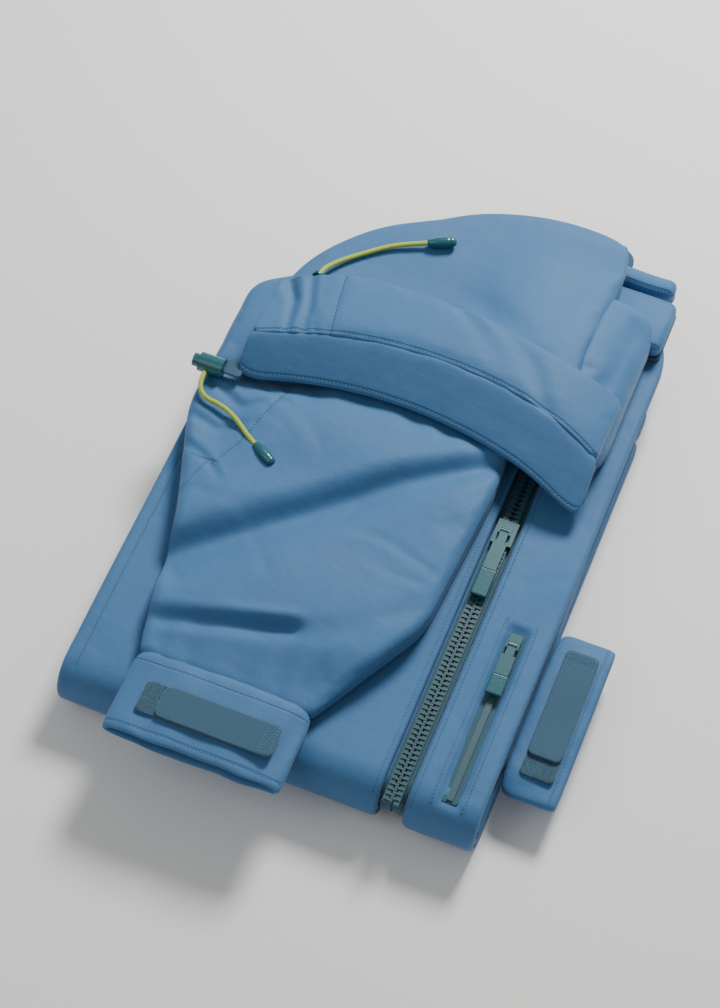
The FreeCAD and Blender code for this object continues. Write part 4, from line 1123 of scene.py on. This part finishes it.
def make_brim(finish):
    """The brim's face with its hem turned under at the free edge, and the lining below it."""
    face_rings, lining_rings = [], []
    for x in np.linspace(-116, 126, 90):
        far, near = seam_y(x), edge_y(x) + end_round(x)
        low = edge_y(x)
        slope = BRIM_RISE / (far - low)
        ripple = 0.22 * math.sin(x / 6.3) + 0.12 * math.sin(x / 2.9 + 1)

        def at(y, depth, lift=0.0):
            part = (y - near) / (far - near)
            bow = 0.45 * math.sin(math.pi * min(max(part, 0), 1))
            return (x, y, BRIM_EDGE_HEIGHT - end_drop(x) + (y - low) * slope + bow + lift - depth)
        face_rings.append(
            [at(far + 2.4, 1.7, ripple), at(far + 0.5, 0.9, ripple), at(far - 0.4, 0.15, ripple * 0.6),
             at(far - 4, -0.15), at(far - 8, -0.1), at(far - 13, 0.0)]
            + [at(near + y, depth) for y, depth in BRIM_HEM]
            + [at(far - 9, 2.1), at(far - 5, 2.1), at(far, 2.5)])
        lining_rings.append([
            at(far - 0.4, 4.2), at(far - 6, 4.2), at(near + 9, 4.2), at(near + 6.5, 4.3),
            at(near + 6.6, 5.2), at(near + 9, 5.2), at(far - 6, 5.2), at(far - 0.4, 5.2)])
    brim = lofted("brim_face", face_rings, finish["shell"])
    shell_piece(brim, "hood", ("hood_brim",), [brim_stitches(np.linspace(-115, 125, 60))])
    lining = lofted("brim_inside", lining_rings, finish["under"])
    wear(lining, "hood", "lining", "hood_brim_lining")


def make_hood_neck(finish):
    """The cloth that joins the hood to the yoke, folded back on itself behind the neck."""
    rings = []
    for number in range(13):
        x = 24 + 66 * number / 12
        ring = []
        for outer in (True, False):
            turns = np.linspace(-90, 90, 11) if outer else np.linspace(90, -90, 11)
            for degrees in turns:
                turn = math.radians(degrees)
                reach = 7.4 if outer else 6.0
                height = 10.2 if outer else 8.8
                pucker = 0.4 * math.sin(x / 4.0 + degrees / 40.0)
                ring.append((x, 258.5 + (reach + pucker) * math.cos(turn), 60.0 + height * math.sin(turn)))
        rings.append(ring)
    neck = lofted("hood_neck_fold", rings, finish["shell"])
    subdivide(neck)
    apply_modifiers(neck)
    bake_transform(neck)


# ------------------------------------------------------------------ cords and their ends

FRONT_CORD = [
    (-0.1350, 0.0635, 0.0689), (-0.1350, 0.0560, 0.0686), (-0.1320, 0.0495, 0.0676),
    (-0.1260, 0.0460, 0.0666), (-0.1170, 0.0456, 0.0658), (-0.1075, 0.0425, 0.0652),
    (-0.0980, 0.0365, 0.0650), (-0.0905, 0.0305, 0.0654), (-0.0830, 0.0260, 0.0658),
]
REAR_CORD = [
    (-0.0910, 0.1515, 0.0840), (-0.0906, 0.1585, 0.0830), (-0.0870, 0.1665, 0.0808),
    (-0.0795, 0.1760, 0.0792), (-0.0690, 0.1860, 0.0786), (-0.0580, 0.1950, 0.0790),
    (-0.0460, 0.2015, 0.0798), (-0.0340, 0.2066, 0.0804),
]
CORD_DIAMETER = 0.0033
END_PROFILE = [(0.0, -0.6), (1.9, -0.6), (2.5, -0.1), (2.75, 0.8), (2.9, 2.2), (3.3, 3.6), (3.62, 5.5),
               (3.75, 8.0), (3.75, 12.6), (3.7, 13.6), (3.42, 14.2), (3.46, 14.8), (3.5, 15.6),
               (3.2, 17.2), (2.3, 18.4), (1.1, 18.9), (0.0, 19.0)]


def cord_line(name, points, finish):
    """A round cord along a smooth route."""
    data = bpy.data.curves.new(name, "CURVE")
    data.dimensions = "3D"
    route = data.splines.new("NURBS")
    route.points.add(len(points) - 1)
    for point, place in zip(route.points, points):
        point.co = (*place, 1.0)
    route.order_u = 3
    route.use_endpoint_u = True
    data.resolution_u = 12
    data.bevel_depth = CORD_DIAMETER / 2
    data.bevel_resolution = 5
    data.use_fill_caps = True
    data.materials.append(finish)
    return put(name, data)


def turned(name, start, direction, profile, material, around=40):
    """A piece turned about a line, from pairs of a radius and a distance along it."""
    ahead = Vector(direction).normalized()
    turn = ahead.to_track_quat("Z", "Y").to_matrix()
    start = Vector(start) / MM
    rings = []
    for radius, along in profile:
        ring = []
        for number in range(around):
            angle = math.tau * number / around
            spoke = Vector((math.cos(angle) * radius, math.sin(angle) * radius, along))
            ring.append(tuple(start + turn @ spoke))
        rings.append(ring)
    return lofted(name, rings, material)


def make_cords(finish):
    for name, points, length in (("front", FRONT_CORD, 0.0699), ("rear", REAR_CORD, 0.0836)):
        cord = cord_line(f"{name}_drawcord", points, finish["cord"])
        wear(cord, "hood", "lime_cord", f"hood_cord_{name}")
        way = Vector(points[-1]) - Vector(points[-2])
        end = turned(f"{name}_cord_end", points[-1], way, END_PROFILE, finish["teal"])
        wear(end, "hood", "teal_plastic", f"hood_cord_{name}_end")


# ------------------------------------------------------------------ stitches

def surface_of(pieces):
    """The finished pieces' upper surfaces, for laying thread on."""
    graph = bpy.context.evaluated_depsgraph_get()
    trees = []
    for piece in pieces:
        work = bmesh.new()
        work.from_object(piece, graph)
        trees.append(BVHTree.FromBMesh(work))
        work.free()
    return trees


def laid(points, trees, step=0.65, lift=0.12):
    """A line's places on top of the cloth, evenly spaced."""
    points = np.array(points, float)
    run = np.concatenate([[0], np.cumsum(np.hypot(*np.diff(points, axis=0).T))])
    at = np.arange(0, run[-1], step)
    placed = []
    for x, y in zip(np.interp(at, run, points[:, 0]), np.interp(at, run, points[:, 1])):
        heights = []
        for tree in trees:
            hit = tree.ray_cast(Vector((x * MM, y * MM, 0.2)), Vector((0, 0, -1)))[0]
            if hit is not None:
                heights.append(hit.z / MM)
        if heights:
            placed.append((x, y, max(heights) + lift))
    return placed


def stitch_tree():
    """Geometry that sets a stitch at even steps along each line, turned to follow it."""
    tree = bpy.data.node_groups.new("stitch_row", "GeometryNodeTree")
    face = tree.interface
    face.new_socket("Geometry", in_out="INPUT", socket_type="NodeSocketGeometry")
    sockets = []
    for name, kind in (("Stitch Spacing", "Float"), ("Stitch Length", "Float"), ("Thread Radius", "Float"),
                       ("Seed", "Int"), ("Thread", "Material")):
        sockets.append(face.new_socket(name, in_out="INPUT", socket_type="NodeSocket" + kind))
    face.new_socket("Geometry", in_out="OUTPUT", socket_type="NodeSocketGeometry")
    kinds = {
        "given": "NodeGroupInput", "result": "NodeGroupOutput", "line": "GeometryNodeMeshToCurve",
        "steps": "GeometryNodeResampleCurve", "points": "GeometryNodeCurveToPoints",
        "ball": "GeometryNodeMeshIcoSphere", "stitches": "GeometryNodeInstanceOnPoints",
        "shape": "ShaderNodeCombineXYZ", "half": "ShaderNodeMath", "jitter": "FunctionNodeRandomValue",
        "vary": "ShaderNodeMath", "real": "GeometryNodeRealizeInstances", "paint": "GeometryNodeSetMaterial",
    }
    nodes = {name: tree.nodes.new(kind) for name, kind in kinds.items()}
    nodes["steps"].mode = "LENGTH"
    nodes["points"].mode = "EVALUATED"
    nodes["ball"].inputs["Subdivisions"].default_value = 1
    nodes["ball"].inputs["Radius"].default_value = 1.0
    nodes["half"].operation = "MULTIPLY"
    nodes["half"].inputs[1].default_value = 0.5
    nodes["jitter"].data_type = "FLOAT"
    nodes["jitter"].inputs["Min"].default_value = 0.9
    nodes["jitter"].inputs["Max"].default_value = 1.08
    nodes["vary"].operation = "MULTIPLY"
    for start, leaves, end, enters in (
            ("given", "Geometry", "line", "Mesh"), ("line", "Curve", "steps", "Curve"),
            ("given", "Stitch Spacing", "steps", "Length"), ("steps", "Curve", "points", "Curve"),
            ("points", "Points", "stitches", "Points"), ("ball", "Mesh", "stitches", "Instance"),
            ("points", "Rotation", "stitches", "Rotation"), ("given", "Stitch Length", "half", 0),
            ("given", "Seed", "jitter", "Seed"), ("half", 0, "vary", 0), ("jitter", "Value", "vary", 1),
            ("given", "Thread Radius", "shape", "X"), ("given", "Thread Radius", "shape", "Y"),
            ("vary", 0, "shape", "Z"), ("shape", "Vector", "stitches", "Scale"),
            ("stitches", "Instances", "real", "Geometry"), ("real", "Geometry", "paint", "Geometry"),
            ("given", "Thread", "paint", "Material"), ("paint", "Geometry", "result", "Geometry")):
        tree.links.new(nodes[start].outputs[leaves], nodes[end].inputs[enters])
    return tree, sockets


def sew(name, body, lines, thread, kit, seed, spacing=STITCH_SPACING, length=1.75, radius=0.2):
    """A row of stitches along lines laid on the cloth."""
    vertices, edges = [], []
    for line in lines:
        edges += [(len(vertices) + n, len(vertices) + n + 1) for n in range(len(line) - 1)]
        vertices += [tuple(np.array(p) * MM) for p in line]
    mesh = bpy.data.meshes.new(name)
    mesh.from_pydata(vertices, edges, [])
    row = put(name, mesh)
    tree, sockets = kit
    modifier = row.modifiers.new("stitches", "NODES")
    modifier.node_group = tree
    for socket, value in zip(sockets, (spacing * MM, length * MM, radius * MM, seed, thread)):
        modifier[socket.identifier] = value
    apply_modifiers(row)
    wear(row, body, "shell_fabric")


def laid_on(names, lines, step=0.65):
    """Each line's places on top of the named pieces."""
    trees = surface_of([bpy.data.objects[name] for name in names])
    return [laid(line, trees, step) for line in lines]


def make_stitches(finish):
    thread, kit = finish["thread"], stitch_tree()
    span = np.linspace(-112, 124, 60)
    rows = laid_on(["hood_crown"], [crown_stitches(span), [(-73, 157), (-70, 137), (-65, 110)]])
    sew("crown_stitches", "hood", rows, thread, kit, 3)
    sew("brim_stitches", "hood", laid_on(["brim_face"], [brim_stitches(span)]), thread, kit, 5)
    second_row = [(x - 2.4, y + 0.4) for x, y in SLEEVE_SEAM[2:]]
    rows = laid_on(["right_sleeve"], [SLEEVE_SEAM, SLEEVE_CROSS, second_row, GUSSET_SEAM])
    sew("sleeve_stitches", "jacket", rows, thread, kit, 7)
    rows = laid_on(["right_front", "left_front"], [
        [(73, -150), (73, 222)], [(97, -150), (97, 222)], [(108, -152), (108, -22)],
        [(128, -152), (128, -22)]], 1.0)
    sew("front_stitches", "jacket", rows, thread, kit, 9)
    rows = laid_on(["right_cuff_cloth", "left_cuff_cloth", "collar_folds", "back_yoke_roll", "hem"], [
        [(-88, -182), (16, -182)], [(-88, -137), (16, -137)], [(173.5, -118), (173.5, -12)],
        [(68, 199.5), (132, 199.5)], [(68, 236), (132, 236)], [(26, 247.5), (124, 247.5)],
        [(26, 258), (124, 258)]], 1.0)
    sew("trim_stitches", "jacket", rows, thread, kit, 11)
    for side, corners in (("right", oblong(2.5, -170, 9.5, -152)), ("left", oblong(151, -30, 169, -22))):
        crossed = corners + [corners[0], corners[2]]
        rows = laid_on([f"{side}_tab_webbing"], [crossed], 0.8)
        sew(f"{side}_tab_stitches", f"{side}_tab", rows, thread, kit, 13, 2.2, 1.5, 0.22)


# ------------------------------------------------------------------ the hard parts

def make_hardware(finish):
    """The moulded and metal parts keep their shapes and get their own finishes; only the teal and enamelled
    ones get softened edges.
    """
    painted = {
        "teeth": ("front_zip_teeth_right", "front_zip_teeth_left", "front_zip_top_stops",
                  "front_zip_bottom_box", "pocket_zip_coil"),
        "enamel": ("front_zip_slider", "front_zip_puller", "pocket_zip_slider", "pocket_zip_puller"),
        "teal": ("front_zip_puller_grip", "pocket_zip_puller_grip", "hood_cord_lock",
                 "hood_cord_lock_plunger", "hem_eyelets", "hood_cord_eyelet"),
        "plain": ("hood_brim_stiffener",),
    }
    for look, nodes in painted.items():
        for node in nodes:
            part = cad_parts[node]
            part.data.materials.clear()
            part.data.materials.append(finish[look])
            if look in ("teal", "enamel"):
                edge = part.modifiers.new("soft_edge", "BEVEL")
                edge.width = 0.0004
                edge.segments = 3
                edge.limit_method = "ANGLE"
                edge.angle_limit = 0.6


def make_spring(finish):
    """The cord lock's coil spring, which closes up as the plunger is pressed; here it is made once, at rest,
    riding on the hood.
    """
    turns, steps, wire, coil = 2.0, 28, 0.25, 3.15
    start, end, middle = -131.2, -126.8, (70.0, 68.6)
    rings = []
    count = int(turns * steps)
    for number in range(count + 1):
        part = number / count
        angle = math.tau * turns * part
        spoke = np.array([0.0, math.cos(angle), math.sin(angle)])
        centre = np.array([start + wire + (end - start - wire * 2) * part, *middle]) + spoke * coil
        ring = []
        for around in range(8):
            turn = math.tau * around / 8
            ring.append(centre + spoke * wire * math.cos(turn) + np.array([wire * math.sin(turn), 0, 0]))
        rings.append(ring)
    spring = lofted("lock_spring_coil", rings, finish["steel"])
    wear(spring, "hood", "spring_steel", "hood_cord_lock_spring")
    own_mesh(spring)


make_camera()
make_studio()
finishes = make_finishes()
make_cords(finishes)
make_hood(finishes)
make_right_sleeve(finishes)
make_cuffs(finishes)
make_tabs(finishes)
make_torso(finishes)
make_neck(finishes)
make_stitches(finishes)
make_spring(finishes)
make_hardware(finishes)
